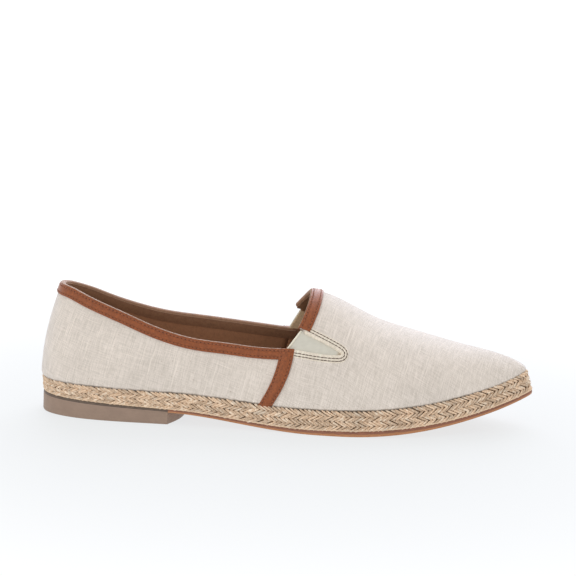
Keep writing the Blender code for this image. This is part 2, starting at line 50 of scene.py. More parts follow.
OUTLINE = (  # x, how far it reaches to the lateral side, and to the medial one
    (2.4, 12.4, 12.2),
    (9.5, 20.6, 20.2),
    (24.0, 27.9, 27.0),
    (45.0, 31.6, 29.8),
    (70.0, 33.2, 29.2),
    (100.0, 35.6, 28.4),
    (130.0, 40.0, 31.4),
    (155.0, 43.4, 36.6),
    (175.0, 43.8, 40.2),
    (195.0, 40.9, 40.9),
    (215.0, 34.0, 37.6),
    (235.0, 23.6, 30.6),
    (250.0, 13.8, 22.8),
    (260.0, 5.2, 14.9),
)

SEAT_HEIGHT, SEAT_SLOPE = 8.9, -0.033
WAIST_START, WAIST_END = 74.0, 150.5
SPRING_START, TOE_SPRING = 162.5, 17.8
SOLE_COLUMNS = ("x", "outsole thickness", "outsole inset", "rand height", "rand foot inset")
SOLE = (
    (0.0, 1.9, 1.4, 8.0, 1.1),
    (40.0, 1.8, 1.2, 8.5, 0.8),
    (75.0, 1.7, 0.9, 8.9, 0.4),
    (110.0, 2.0, 0.7, 9.8, 0.1),
    (150.0, 2.7, 0.6, 10.5, 0.0),
    (190.0, 3.1, 0.6, 10.4, 0.0),
    (225.0, 2.6, 0.6, 10.7, 0.0),
    (250.0, 2.4, 0.5, 10.8, 0.0),
    (267.0, 2.0, 0.4, 11.4, 0.0),
)
BULGE_COLUMNS = ("x", "bulge")
BULGE = ((0.0, 2.3), (30.0, 2.1), (75.0, 1.6), (150.0, 1.5), (225.0, 1.7), (267.0, 3.7))
BULGE_RISE, BULGE_FADE, LEAN_FADE = 2.6, 45.0, 8.0
HEEL_INSET, HEEL_BREAST_X, HEEL_BREAST_BULGE = 1.3, 70.6, 8.0
RAND_WALL, RAND_REBATE, RAND_OVERLAP = 2.8, 1.1, 3.0
FEATHER_INSET = RAND_WALL - RAND_REBATE + GAP
INSOLE_THICKNESS, INSOLE_CLEARANCE = 2.0, 0.8

CREST_COLUMNS = ("x", "y", "z", "squareness")
CREST = (
    (40.0, 0.0, 95.0, 2.50),
    (70.0, 0.0, 92.0, 2.25),
    (100.0, 0.0, 85.5, 2.05),
    (125.0, 0.2, 77.0, 2.00),
    (143.0, 0.5, 70.3, 2.00),
    (151.0, 0.7, 69.1, 2.02),
    (158.0, 0.8, 66.7, 2.05),
    (170.0, 1.1, 60.9, 2.08),
    (182.0, 1.4, 55.3, 2.12),
    (197.0, 1.9, 50.8, 2.16),
    (213.0, 2.6, 46.6, 2.18),
    (229.0, 3.4, 42.7, 2.16),
    (242.0, 4.0, 40.1, 2.12),
    (254.0, 4.6, 37.2, 2.08),
    (267.0, 5.0, 35.0, 2.05),
)
CREST_BACK_X, CREST_TIP_X = 46.0, 247.0
FAN_BACK_END, FAN_TOE_START = 92.0, 214.0

TOPLINE_COLUMNS = ("x", "lateral z", "medial z")
TOPLINE = (
    (8.6, 68.7, 68.7),
    (16.0, 68.2, 65.6),
    (23.0, 65.9, 62.9),
    (35.0, 61.5, 58.0),
    (47.0, 57.1, 54.2),
    (59.0, 52.4, 51.4),
    (70.0, 48.8, 49.8),
    (84.0, 45.8, 48.7),
    (100.0, 44.4, 47.3),
    (117.0, 43.1, 45.5),
    (133.0, 43.1, 43.6),
)
GORE_CORNER_X, THROAT_CREST_X, THROAT_END_X = 132.8, 145.2, 160.0
THROAT_SWEEP = {LATERAL: 2.5, MEDIAL: 2.0}
NOTCH_COLUMNS = (
    "corner x", "corner q", "back x", "back z", "tip x", "tip z", "half width", "low end", "high end"
)
NOTCH = {
    LATERAL: (139.4, 0.515, 138.7, 48.2, 161.7, 42.6, 4.5, -1.12, 1.0),
    MEDIAL: (137.0, 0.575, 138.1, 50.0, 161.4, 44.0, 5.5, -1.10, 1.02),
}
NOTCH_POWER = 1.54
GORE_RECESS, GORE_DEPTHS, GORE_SAG = 0.5, (0.1, 0.75), 0.35
GORE_BACK_EDGE, GORE_SEWN_EDGE = 0.6, 1.2

STRIP_WIDTH, STRIP_FOOT_WIDTH, STRIP_TOP_X, STRIP_FOOT_X, STRIP_CURVE = 7.5, 6.9, 129.4, 118.2, 0.8


# ---------------------------------------------------------------- the last, over arrays


def cubic(knots, values, period=None):
    """The smooth curve through the knots: natural at its ends, or closed with a period."""
    t = np.array(knots, float)
    y = np.array(values, float)
    if period:
        t = np.append(t, t[0] + period)
        y = np.append(y, y[0])
    h = np.diff(t)
    slope = np.diff(y) / h
    n = len(t)
    matrix = np.zeros((n, n))
    right = np.zeros(n)
    for i in range(1, n - 1):
        matrix[i, i - 1 : i + 2] = (h[i - 1], 2 * (h[i - 1] + h[i]), h[i])
        right[i] = 6 * (slope[i] - slope[i - 1])
    matrix[0, 0] = matrix[-1, -1] = 1
    if period:
        matrix[0, -1] = -1
        matrix[-1, -2:] = (h[-1], 0)
        matrix[-1, :2] = (2 * (h[-1] + h[0]), h[0])
        right[-1] = 6 * (slope[0] - slope[-1])
    bend = np.linalg.solve(matrix, right)

    def at(x):
        x = np.asarray(x, float)
        if period:
            x = t[0] + (x - t[0]) % period
        x = np.clip(x, t[0], t[-1])
        i = np.clip(np.searchsorted(t, x, side="right") - 1, 0, n - 2)
        a = (t[i + 1] - x) / h[i]
        b = (x - t[i]) / h[i]
        bent = (a**3 - a) * bend[i] + (b**3 - b) * bend[i + 1]
        return a * y[i] + b * y[i + 1] + bent * h[i] ** 2 / 6

    return at


def column(table, columns, name):
    x = [row[0] for row in table]
    return cubic(x, [row[columns.index(name)] for row in table])


def smooth(t):
    t = np.clip(t, 0.0, 1.0)
    return t * t * (3 - 2 * t)


def bell(t):
    """A soft hump, 1 at 0 and gone at 1 either way."""
    return 1 - smooth(np.abs(t))


def rib_of(x):
    """The share |r| whose section of the rand lies at x."""
    return np.arccos(1 - 2 * (np.asarray(x, float) - BACK_X) / LENGTH) / math.pi


def outline_reach():
    lateral = [(-rib_of(row[0]), -row[1]) for row in reversed(OUTLINE)]
    medial = [(rib_of(row[0]), row[2]) for row in OUTLINE]
    knots = [(-1.0, TIP_Y)] + lateral + [(0.0, 0.0)] + medial
    return cubic([k[0] for k in knots], [k[1] for k in knots], period=2.0)


reach = outline_reach()
outsole_thickness = column(SOLE, SOLE_COLUMNS, "outsole thickness")
outsole_inset = column(SOLE, SOLE_COLUMNS, "outsole inset")
rand_height = column(SOLE, SOLE_COLUMNS, "rand height")
rand_foot_inset = column(SOLE, SOLE_COLUMNS, "rand foot inset")
bulge = column(BULGE, BULGE_COLUMNS, "bulge")
crest_y = column(CREST, CREST_COLUMNS, "y")
crest_z = column(CREST, CREST_COLUMNS, "z")
squareness = column(CREST, CREST_COLUMNS, "squareness")
topline = {side: column(TOPLINE, TOPLINE_COLUMNS, SIDES[side] + " z") for side in SIDES}


def unit(v):
    return v / np.maximum(np.linalg.norm(v, axis=-1, keepdims=True), 1e-12)


def run_along(points):
    """The distance from the first of a line of points to each."""
    return np.concatenate(((0,), np.cumsum(np.linalg.norm(np.diff(points, axis=0), axis=1))))


def section_x(r):
    return BACK_X + LENGTH * (1 - np.cos(math.pi * np.asarray(r, float))) / 2


def outline(r, inset=0.0):
    """The points (x, y) of the rand's outline at r, moved inwards by inset."""
    dx = section_x(r + STEP) - section_x(r - STEP)
    dy = reach(r + STEP) - reach(r - STEP)
    size = np.hypot(dx, dy)
    return section_x(r) + dy / size * inset, reach(r) - dx / size * inset


def sole_bottom(x):
    seat = SEAT_HEIGHT + SEAT_SLOPE * x
    back = seat * (1 - smooth((x - WAIST_START) / (WAIST_END - WAIST_START)))
    front = TOE_SPRING * (np.maximum(x - SPRING_START, 0) / (TIP_X - SPRING_START)) ** 2
    return np.where(x < WAIST_END, back, front)


def sole_top(x):
    return sole_bottom(x) + outsole_thickness(x)


def sole_slope(x):
    return sole_top(x + 0.5) - sole_top(x - 0.5)


def raised(r, inset, height):
    """The point that stands over the outline at r, lifted off the sole at right angles to it."""
    x, y = outline(r, inset)
    slope = sole_slope(x)
    lift = height / np.hypot(1, slope)
    return np.stack(np.broadcast_arrays(x - slope * lift, y, sole_top(x) + lift), -1)


def feather_height(r):
    return rand_height(section_x(r)) - RAND_OVERLAP


def crest_x(x):
    """Where the rib whose foot is at x meets the crest: the ribs fan out at the heel and the toe."""
    t = np.clip(x, 0.0, FAN_BACK_END) / FAN_BACK_END
    back = CREST_BACK_X * (1 - t) ** 2 * (1 + t * (2 - FAN_BACK_END / CREST_BACK_X) * 0.5)
    front = np.clip((x - FAN_TOE_START) / (TIP_X - FAN_TOE_START), 0.0, 1.0) ** 2
    return x + np.where(x < FAN_BACK_END, back, 0) - (TIP_X - CREST_TIP_X) * front


def surface(r, q):
    """The outer face of the upper. Past the crest it goes on down the other side."""
    r, q = np.broadcast_arrays(np.asarray(r, float), np.asarray(q, float))
    r, q = np.where(q > 1, -r, r), np.where(q > 1, 2 - q, q)
    r = (r + 1) % 2 - 1
    q = np.maximum(q, 0.0)
    foot = raised(r, FEATHER_INSET, feather_height(r))
    top_x = crest_x(section_x(r))
    power = 2 / squareness(top_x)
    inward = np.maximum(np.cos(q * math.pi / 2), 0) ** power
    upward = np.sin(q * math.pi / 2) ** power
    x = top_x + (foot[..., 0] - top_x) * inward
    y = crest_y(top_x) + (foot[..., 1] - crest_y(top_x)) * inward
    z = foot[..., 2] + (crest_z(x) - foot[..., 2]) * upward
    climb = np.minimum(z - foot[..., 2], LEAN_FADE)
    x = x - sole_slope(foot[..., 0]) * climb * (1 - climb / (2 * LEAN_FADE)) * inward
    above = z - foot[..., 2] - RAND_OVERLAP
    puff = bulge(foot[..., 0]) * smooth(above / BULGE_RISE) * inward
    puff = puff * (1 - smooth((above - BULGE_RISE) / BULGE_FADE))
    edge, inner = outline(r, 0.0), outline(r, 1.0)
    return np.stack((x + (edge[0] - inner[0]) * puff, y + (edge[1] - inner[1]) * puff, z), -1)


def tangents(r, q):
    """How the upper's face runs at each place, along r and along q."""
    along = (surface(r + STEP, q) - surface(r - STEP, q)) / (2 * STEP)
    up = (surface(r, q + STEP) - surface(r, q - STEP)) / (2 * STEP)
    return along, up


def normal(r, q):
    along, up = tangents(r, np.clip(q, 0.002, 1.998))
    return unit(np.cross(up, along))


def off_surface(r, q, height):
    """The points that stand that high off the upper's face."""
    return surface(r, q) + normal(r, q) * np.asarray(height)[..., None]


def walk(r, q, heading, distance, steps=6):
    """The places (r, q) reached by going that far over the surface towards heading."""
    r, q = np.array(r, float), np.array(q, float)
    for _ in range(steps):
        a, u = tangents(r, q)
        face = unit(np.cross(u, a))
        flat = heading - face * (heading * face).sum(-1, keepdims=True)
        go = unit(flat) * (np.asarray(distance)[..., None] / steps)
        aa, au, uu = (a * a).sum(-1), (a * u).sum(-1), (u * u).sum(-1)
        ag, ug = (a * go).sum(-1), (u * go).sum(-1)
        det = aa * uu - au * au
        r = r + (ag * uu - ug * au) / det
        q = q + (ug * aa - ag * au) / det
    return r, q


def locate(x, z, side):
    """The places (r, q) that are seen at (x, z) from that side."""
    x, z = np.broadcast_arrays(np.asarray(x, float), np.asarray(z, float))
    r, q = side * rib_of(x), np.full(x.shape, 0.35)
    for _ in range(12):
        here = surface(r, q)
        a, u = tangents(r, q)
        det = a[..., 0] * u[..., 2] - u[..., 0] * a[..., 2]
        dx, dz = x - here[..., 0], z - here[..., 2]
        r = r + (dx * u[..., 2] - dz * u[..., 0]) / det
        q = np.clip(q + (dz * a[..., 0] - dx * a[..., 2]) / det, 0.01, 0.99)
    return r, q


def rib_at(x, q, side):
    """The ribs r that pass x at the heights q."""
    r = side * rib_of(x) + 0 * np.asarray(q, float)
    for _ in range(8):
        r = r + (x - surface(r, q)[..., 0]) / tangents(r, q)[0][..., 0]
    return r


def climb_to(r, reached):
    """How far up each rib the height q lies where reached(points) first comes true."""
    low, high = np.zeros(np.shape(r)), np.full(np.shape(r), 0.95)
    for _ in range(26):
        middle = (low + high) / 2
        hit = reached(surface(r, middle))
        low, high = np.where(hit, low, middle), np.where(hit, middle, high)
    return high


def topline_q(r):
    """How far up the rib at r the quarter's top edge lies."""
    r = np.asarray(r, float)

    def above(p):
        return p[..., 2] > np.where(r < 0, topline[LATERAL](p[..., 0]), topline[MEDIAL](p[..., 0]))

    return climb_to(r, above)


def notch(side, name):
    return NOTCH[side][NOTCH_COLUMNS.index(name)]


def collar_q(side):
    """The height of the collar's edge where it meets the gore."""
    return float(topline_q(rib_at(GORE_CORNER_X, 0.4, side)))


def strip_middle(z, side):
    """The x of the side strip's middle line at the height z."""
    foot_x = STRIP_FOOT_X + STRIP_FOOT_WIDTH / 2
    top_x = STRIP_TOP_X + STRIP_WIDTH / 2
    low = sole_top(foot_x) + rand_height(foot_x)
    t = np.clip((topline[side](top_x) - z) / (topline[side](top_x) - low), 0, 1.3)
    return top_x + (foot_x - top_x) * ((1 - STRIP_CURVE) * t + STRIP_CURVE * t * t)


def front_rib(q, side):
    """The rib of the vamp's rear edge at the height q: the side seam under the strip, then the
    gore's free edge, then the throat up to the crest."""
    q = np.asarray(q, float)
    start, corner_q, corner_x = collar_q(side), notch(side, "corner q"), notch(side, "corner x")
    r = rib_at(np.full(q.shape, GORE_CORNER_X), q, side)
    for _ in range(4):
        r = rib_at(strip_middle(surface(r, q)[..., 2], side), q, side)
    rise = np.clip((q - start) / (corner_q - start), 0, 1)
    t = np.clip((1 - q) / (1 - corner_q), 0, 1)
    gore_x = GORE_CORNER_X + (corner_x - GORE_CORNER_X) * rise
    throat_x = THROAT_CREST_X - (THROAT_CREST_X - corner_x) * t ** THROAT_SWEEP[side]
    x = np.where(q < corner_q, gore_x, throat_x)
    return np.where(q < start, r, rib_at(x, np.minimum(q, 0.999), side))


def notch_frame(side):
    back = np.array((notch(side, "back x"), notch(side, "back z")))
    tip = np.array((notch(side, "tip x"), notch(side, "tip z")))
    size = float(np.linalg.norm(tip - back))
    return back, (tip - back) / size, size


def notch_line(side, w, outwards=0.0):
    """Points (x, z) of the notch's edge in side view, moved outwards. w runs from -1 at the lower
    end over 0 at the tip to 1 at the upper end."""
    back, axis, size = notch_frame(side)
    across = np.array((-axis[1], axis[0]))
    w = np.asarray(w, float)

    def at(w):
        along = size * (1 - np.abs(w) ** NOTCH_POWER)
        return back + axis * along[..., None] + across * (notch(side, "half width") * w)[..., None]

    step = unit(at(w + 1e-3) - at(w - 1e-3))
    out = np.stack((step[..., 1], -step[..., 0]), -1)
    return at(w) + out * np.asarray(outwards)[..., None]


def in_notch(points, side, outwards):
    """Whether each point lies in the notch, in side view, or within that distance of it."""
    back, axis, size = notch_frame(side)
    offset = points[..., (0, 2)] - back
    along = offset @ axis
    across = offset @ np.array((-axis[1], axis[0]))
    w = np.abs(across) / (notch(side, "half width") + outwards)
    near = points[..., 0] > GORE_CORNER_X - STRIP_WIDTH / 2
    return near & (along < (size + outwards) * (1 - w**NOTCH_POWER))


# ---------------------------------------------------------------- pieces from points

GOLDEN = 0.6180339  # spreads the numbers of a row of tubes evenly


def to_frame(points):
    """Millimetres from the heel to the frame's metres."""
    return (np.asarray(points, float).reshape(-1, 3) - MIDDLE) * MM


def add_piece(name, points, faces, slot, material, marks, replaces=(), smooth_angle=None):
    """A mesh that rides with the shoe. marks are per-point vectors that its material reads."""
    mesh = bpy.data.meshes.new(name)
    mesh.from_pydata(to_frame(points).tolist(), [], faces)
    for key, values in marks.items():
        layer = mesh.attributes.new(key, "FLOAT_VECTOR", "POINT")
        layer.data.foreach_set("vector", np.asarray(values, np.float32).ravel())
    mesh.shade_smooth()
    if smooth_angle:
        mesh.set_sharp_from_angle(angle=math.radians(smooth_angle))
    mesh.materials.append(material)
    piece = bpy.data.objects.new(name, mesh)
    bpy.context.scene.collection.objects.link(piece)
    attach(piece, "root")
    if replaces:
        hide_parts(*replaces)
    return piece


def grid_faces(n, m, wrap_n=False, wrap_m=False):
    """Quads over an n by m grid of points."""
    i = np.arange(n if wrap_n else n - 1)[:, None]
    j = np.arange(m if wrap_m else m - 1)[None, :]
    i2, j2 = (i + 1) % n, (j + 1) % m
    quads = np.stack(np.broadcast_arrays(i * m + j, i * m + j2, i2 * m + j2, i2 * m + j), -1)
    return quads.reshape(-1, 4).tolist()


def face_out(piece):
    """Turns every face outwards."""
    bm = bmesh.new()
    bm.from_mesh(piece.data)
    bmesh.ops.recalc_face_normals(bm, faces=bm.faces)
    bm.to_mesh(piece.data)
    bm.free()


def thicken(piece, thickness):
    """Gives an open sheet a wall of that many millimetres."""
    wall = piece.modifiers.new("wall", "SOLIDIFY")
    wall.thickness = thickness * MM
    wall.offset = -1
    wall.use_quality_normals = True


def closed_strip(name, ring, marks, slot, material, replaces, angle=35):
    """A closed profile swept along a path, with capped ends. ring is (stations, profile points, 3)."""
    n, m = ring.shape[:2]
    faces = grid_faces(n, m, wrap_m=True)
    faces += [list(range(m))[::-1], list(range((n - 1) * m, n * m))]
    face_out(add_piece(name, ring, faces, slot, material, marks, replaces, angle))


def tubes(name, centres, ups, wide, thick, slot, material, sides=8, replaces=(), tags=None):
    """Many short cords in one mesh. centres and ups are (count, rings, 3), wide and thick are the
    half sizes of each ring, and ups point off the surface."""
    count, rings = centres.shape[:2]
    run = unit(np.gradient(centres, axis=1))
    flat = unit(np.cross(run, ups))
    up = unit(np.cross(flat, run))
    turn = np.arange(sides) / sides * 2 * math.pi
    wide, thick = (np.broadcast_to(v, (count, rings))[..., None, None] for v in (wide, thick))
    ring = (
        centres[:, :, None]
        + flat[:, :, None] * np.cos(turn)[:, None] * wide
        + up[:, :, None] * np.sin(turn)[:, None] * thick
    )
    one = np.array(grid_faces(rings, sides, wrap_m=True))[:, ::-1]
    size = rings * sides
    faces = (one[None] + (np.arange(count) * size)[:, None, None]).reshape(-1, 4).tolist()
    for k in range(count):
        faces.append(list(range(k * size, k * size + sides)))
        faces.append(list(range((k + 1) * size - sides, (k + 1) * size))[::-1])
    length = np.linalg.norm(np.diff(centres, axis=1), axis=-1)
    along = np.concatenate((np.zeros((count, 1)), np.cumsum(length, 1)), 1)
    tags = np.arange(count) * GOLDEN % 1 if tags is None else tags
    marks = (along[:, :, None], turn[None, None, :] / math.pi, tags[:, None, None])
    marks = {"place": np.stack(np.broadcast_arrays(*marks), -1)}
    add_piece(name, ring, faces, slot, material, marks, replaces)


# ---------------------------------------------------------------- materials


def rgb(red, green, blue):
    """A colour as it looks on a screen, made linear."""
    return [((c / 255 + 0.055) / 1.055) ** 2.4 for c in (red, green, blue)]


def toned(tint, share):
    """A colour made darker or lighter, short of pure white."""
    return [min(c * share, 0.95) for c in tint]


class Shade:
    """A node material that is built one line at a time."""

    def __init__(self, name, roughness, **constants):
        self.material = bpy.data.materials.new(name)
        self.material.use_nodes = True
        self.tree = self.material.node_tree
        self.shader = self.tree.nodes["Principled BSDF"]
        self.shader.inputs["Roughness"].default_value = roughness
        for key, value in constants.items():
            self.shader.inputs[key.replace("_", " ")].default_value = value

    def node(self, kind, inputs, output=0, **settings):
        made = self.tree.nodes.new("ShaderNode" + kind)
        for key, value in settings.items():
            setattr(made, key, value)
        for key, value in inputs.items():
            self.feed(made.inputs[key], value)
        return made.outputs[output]

    def feed(self, socket, value):
        if isinstance(value, bpy.types.NodeSocket):
            self.tree.links.new(value, socket)
        elif socket.type == "RGBA":
            socket.default_value = (*value, 1.0)
        else:
            socket.default_value = value

    def mark(self, name):
        return self.node("Attribute", {}, output="Vector", attribute_name=name)

    def parts(self, vector):
        made = self.tree.nodes.new("ShaderNodeSeparateXYZ")
        self.feed(made.inputs[0], vector)
        return made.outputs[0], made.outputs[1], made.outputs[2]

    def vector(self, x=0.0, y=0.0, z=0.0):
        return self.node("CombineXYZ", {0: x, 1: y, 2: z})

    def math(self, operation, a, b=0.0, c=0.0):
        return self.node("Math", {0: a, 1: b, 2: c}, operation=operation)

    def stretch(self, vector, scale, turn=0.0):
        """The vector turned about Z and then scaled along each axis."""
        turned = self.node("VectorRotate", {"Vector": vector, "Angle": turn}, rotation_type="Z_AXIS")
        return self.node("VectorMath", {0: turned, 1: scale}, operation="MULTIPLY")

    def noise(self, vector, scale, detail, rough=0.5, output=0):
        inputs = {"Vector": vector, "Scale": scale, "Detail": detail, "Roughness": rough}
        return self.node("TexNoise", inputs, output=output)

    def span(self, value, low, high, to_low=0.0, to_high=1.0):
        inputs = {0: value, 1: low, 2: high, 3: to_low, 4: to_high}
        return self.node("MapRange", inputs, interpolation_type="SMOOTHSTEP")

    def mix(self, factor, a, b, blend="MIX"):
        made = self.tree.nodes.new("ShaderNodeMix")
        made.data_type = "RGBA"
        made.blend_type = blend
        for index, value in ((0, factor), (6, a), (7, b)):
            self.feed(made.inputs[index], value)
        return made.outputs[2]

    def ribs(self, value, pitch):
        """Round ribs that far apart."""
        return self.math("ABSOLUTE", self.math("SINE", self.math("MULTIPLY", value, math.pi / pitch)))

    def times(self, ground, tone):
        return self.mix(1.0, ground, self.vector(tone, tone, tone), "MULTIPLY")

    def blotches(self, noise, low, high):
        return self.mix(self.span(noise, 0.3, 0.7), low, high)

    def patch(self, ground, value, low, high, share, tint):
        """Lays the tint over the ground, by that share where the value passes high."""
        return self.mix(self.span(value, low, high, 0.0, share), ground, tint)

    def colour(self, value):
        self.feed(self.shader.inputs["Base Color"], value)

    def bump(self, height, depth, strength):
        """Relief of that many millimetres."""
        made = self.node("Bump", {"Strength": strength, "Distance": depth * MM, "Height": height})
        self.tree.links.new(made, self.shader.inputs["Normal"])


def linen(name, tint):
    """Slubbed plain-weave linen. The mark cloth holds millimetres over the cloth, and foot holds
    the height over the rand, for the painted shadow in the seam there."""
    shade = Shade(name, 0.92, Sheen_Weight=0.55, Sheen_Roughness=0.38, Sheen_Tint=(0.9, 0.93, 1.0, 1.0))
    cloth = shade.stretch(shade.mark("cloth"), (1, 1, 1), math.radians(CLOTH_TURN))
    wander = shade.noise(cloth, 0.16, 1.0, output=1)
    wander = shade.node("VectorMath", {0: wander, 1: (0.5, 0.5, 0.5)}, operation="SUBTRACT")
    wander = shade.node("VectorMath", {0: wander, 3: THREAD_WANDER}, operation="SCALE")
    cloth = shade.node("VectorMath", {0: cloth, 1: wander}, operation="ADD")
    u, v, _ = shade.parts(cloth)
    warp, weft = shade.ribs(u, WEAVE_PITCH), shade.ribs(v, WEAVE_PITCH)
    over = shade.node("TexChecker", {"Vector": cloth, "Scale": 1 / WEAVE_PITCH}, output=1)
    warp_top = shade.math("MULTIPLY", warp, shade.math("MULTIPLY_ADD", weft, 0.5, 0.5))
    weft_top = shade.math("MULTIPLY", weft, shade.math("MULTIPLY_ADD", warp, 0.5, 0.5))
    weave = shade.math("MULTIPLY_ADD", shade.math("SUBTRACT", warp_top, weft_top), over, weft_top)
    upright = shade.noise(shade.stretch(cloth, (1.3, 0.035, 1)), 1.0, 1.0)
    level = shade.noise(shade.stretch(cloth, (0.035, 1.3, 1)), 1.0, 1.0)
    slub = shade.math("MAXIMUM", shade.span(upright, 0.60, 0.74), shade.span(level, 0.66, 0.80))
    mottle = shade.noise(cloth, 0.55, 3.0, 0.65)
    threads = shade.noise(shade.stretch(cloth, (1.9, 0.10, 1)), 1.0, 3.0, 0.6)
    rows = shade.noise(shade.stretch(cloth, (0.10, 2.0, 1)), 1.0, 3.0, 0.6)
    ground = shade.blotches(mottle, toned(tint, 0.96), tint)
    ground = shade.times(ground, shade.span(shade.noise(cloth, 0.03, 2.0), 0.35, 0.65, 0.97, 1.02))
    for streak, low in ((threads, 0.895), (rows, 0.92)):
        tone = shade.span(streak, 0.34, 0.66, low, 1.055)
        warm = shade.math("MULTIPLY_ADD", tone, 1.1, -0.1)
        ground = shade.mix(1.0, ground, shade.vector(tone, tone, warm), "MULTIPLY")
    ground = shade.mix(shade.math("MULTIPLY", slub, 0.74), ground, toned(tint, 1.16))
    ground = shade.times(ground, shade.span(weave, 0.05, 0.4, 0.80, 1.0))
    ground = shade.patch(ground, shade.noise(cloth, 1.1, 0.0), 0.81, 0.85, 0.5, FLECK)
    above = shade.parts(shade.mark("foot"))[0]
    along = shade.parts(shade.mark("place"))[0]
    # painted shadow: the linen turns dark just over the rand, where the plait shades the seam; its strength
    # wanders along the shoe
    seam_shadow_strength = shade.span(shade.noise(shade.vector(along), 0.05, 1.0), 0.4, 0.6, 0.45, 0.9)
    line = shade.math("MULTIPLY", shade.span(above, 1.0, 1.7, 1.0, 0.0), seam_shadow_strength)
    shade.colour(shade.mix(line, ground, SEAM_SHADOW))
    relief = shade.math("MULTIPLY_ADD", slub, 0.7, shade.math("MULTIPLY_ADD", mottle, 0.35, weave))
    shade.bump(relief, 0.16, 0.75)
    return shade.material


def leather(name, tint, pale, grain, roughness=0.5, roll=None, sheen=0.0, spread=1.0):
    """Finished leather with a fine grain. The mark place holds millimetres over the piece. Where
    place's second value is below zero, the leather turns over an edge, and takes the roll colour.
    spread says how far its tones lie apart."""
    shade = Shade(name, roughness, Specular_IOR_Level=0.4, Sheen_Weight=sheen, Sheen_Roughness=0.35)
    place = shade.mark("place")
    cells = shade.node("TexVoronoi", {"Vector": place, "Scale": grain}, feature="SMOOTH_F1")
    mottle = shade.noise(place, 0.42, 4.0, 0.65)
    fine = shade.noise(place, 2.4, 2.0)
    ground = shade.mix(shade.span(mottle, 0.36, 0.64), toned(tint, 1 - 0.28 * spread), tint)
    ground = shade.patch(ground, fine, 0.56, 0.72, 0.45 * spread, pale)
    ground = shade.patch(ground, cells, 0.35, 0.65, 0.45 * spread, toned(tint, 0.5))
    ground = shade.patch(ground, shade.noise(place, 1.35, 1.0), 0.60, 0.70, 0.55 * spread, toned(tint, 0.4))
    if roll:
        ground = shade.mix(shade.span(shade.parts(place)[1], -1.0, -0.6, 1.0, 0.0), ground, roll)
    shade.colour(ground)
    dull = shade.span(fine, 0.2, 0.8, roughness - 0.08, roughness + 0.1)
    shade.feed(shade.shader.inputs["Roughness"], dull)
    shade.bump(shade.math("MULTIPLY_ADD", fine, 0.4, cells), 0.09, 0.6)
    return shade.material


def plain(name, tint, roughness, scale, depth, change):
    """An even material with faint mottling, such as thread, rubber or elastic."""
    shade = Shade(name, roughness)
    mottle = shade.noise(shade.mark("place"), scale, 3.0, 0.6)
    shade.colour(shade.blotches(mottle, toned(tint, 1 - change), toned(tint, 1 + change)))
    shade.bump(mottle, depth, 0.5)
    return shade.material


def elastic():
    """Ribbed elastic webbing. place holds millimetres along and across it, and edge its share of
    the way to the seam, where the elastic darkens: painted shade under the linen's lip."""
    shade = Shade("elastic", 0.7, Sheen_Weight=0.1)
    place = shade.mark("place")
    u, v, _ = shade.parts(place)
    rib = shade.ribs(v, RIB_PITCH)
    knit = shade.ribs(u, KNIT_PITCH)
    ground = shade.blotches(shade.noise(place, 0.3, 2.0), toned(ELASTIC, 0.94), ELASTIC)
    ground = shade.times(ground, shade.span(rib, 0.0, 0.5, 0.9, 1.0))
    # painted shade: brown towards the sewn edge, where the linen's lip overhangs the elastic
    edge = shade.parts(shade.mark("edge"))[0]
    shade.colour(shade.patch(ground, edge, 0.86, 0.95, 0.7, rgb(168, 146, 120)))
    shade.bump(shade.math("MULTIPLY_ADD", knit, 0.35, rib), 0.07, 0.6)
    return shade.material


def jute(name, tint, dark, pale):
    """Twisted jute. place holds millimetres along a ply, turns round it, and a number for each."""
    shade = Shade(name, 0.88, Sheen_Weight=0.1)
    along, turn, tag = shade.parts(shade.mark("place"))
    twist = shade.math("MULTIPLY_ADD", along, 0.55, turn)
    start = shade.math("MULTIPLY", tag, 71.0)
    spot = shade.vector(shade.math("MULTIPLY", along, 0.5), shade.math("MULTIPLY", twist, 3.2), start)
    fibre = shade.noise(spot, 2.0, 3.0, 0.7)
    blot = shade.noise(shade.vector(along, turn, start), 0.35, 2.0)
    ground = shade.patch(shade.blotches(fibre, dark, tint), blot, 0.45, 0.7, 0.55, pale)
    shade.colour(shade.times(ground, shade.span(tag, 0.0, 1.0, 0.80, 1.12)))
    shade.bump(fibre, 0.22, 0.9)
    return shade.material


CLOTH_TURN, WEAVE_PITCH, THREAD_WANDER = 13, 0.62, 0.7
FLECK, SEAM_SHADOW = rgb(150, 124, 96), rgb(112, 95, 76)
RIB_PITCH, KNIT_PITCH = 0.7, 0.45
ELASTIC = rgb(207, 203, 190)
TAN, TAN_PALE, TAN_ROLL = rgb(148, 77, 33), rgb(192, 116, 60), rgb(198, 124, 78)

linen_material = linen("linen", rgb(230, 219, 208))
fold_material = linen("linen_fold", rgb(242, 230, 212))
leather_material = leather("tan_leather", TAN, TAN_PALE, 1.9, roll=TAN_ROLL, sheen=0.34)
thread_material = plain("dark_thread", rgb(74, 46, 36), 0.75, 3.0, 0.05, 0.2)
# dark brown dashes at the stitch holes: painted shade in the holes
stitch_hole_shade_material = plain("stitch_hole_shade", rgb(98, 54, 34), 0.75, 3.0, 0.05, 0.2)
tan_thread_material = plain("tan_thread", rgb(150, 88, 56), 0.7, 3.0, 0.05, 0.2)
lining_material = leather("lining", rgb(166, 120, 88), rgb(186, 136, 96), 1.1, 0.55, spread=0.35)
facing_material = leather("facing", rgb(148, 109, 81), rgb(166, 125, 95), 1.3, 0.6, spread=0.5)
edge_material = plain("cut_edge", rgb(176, 140, 116), 0.8, 1.5, 0.05, 0.12)
elastic_material = elastic()
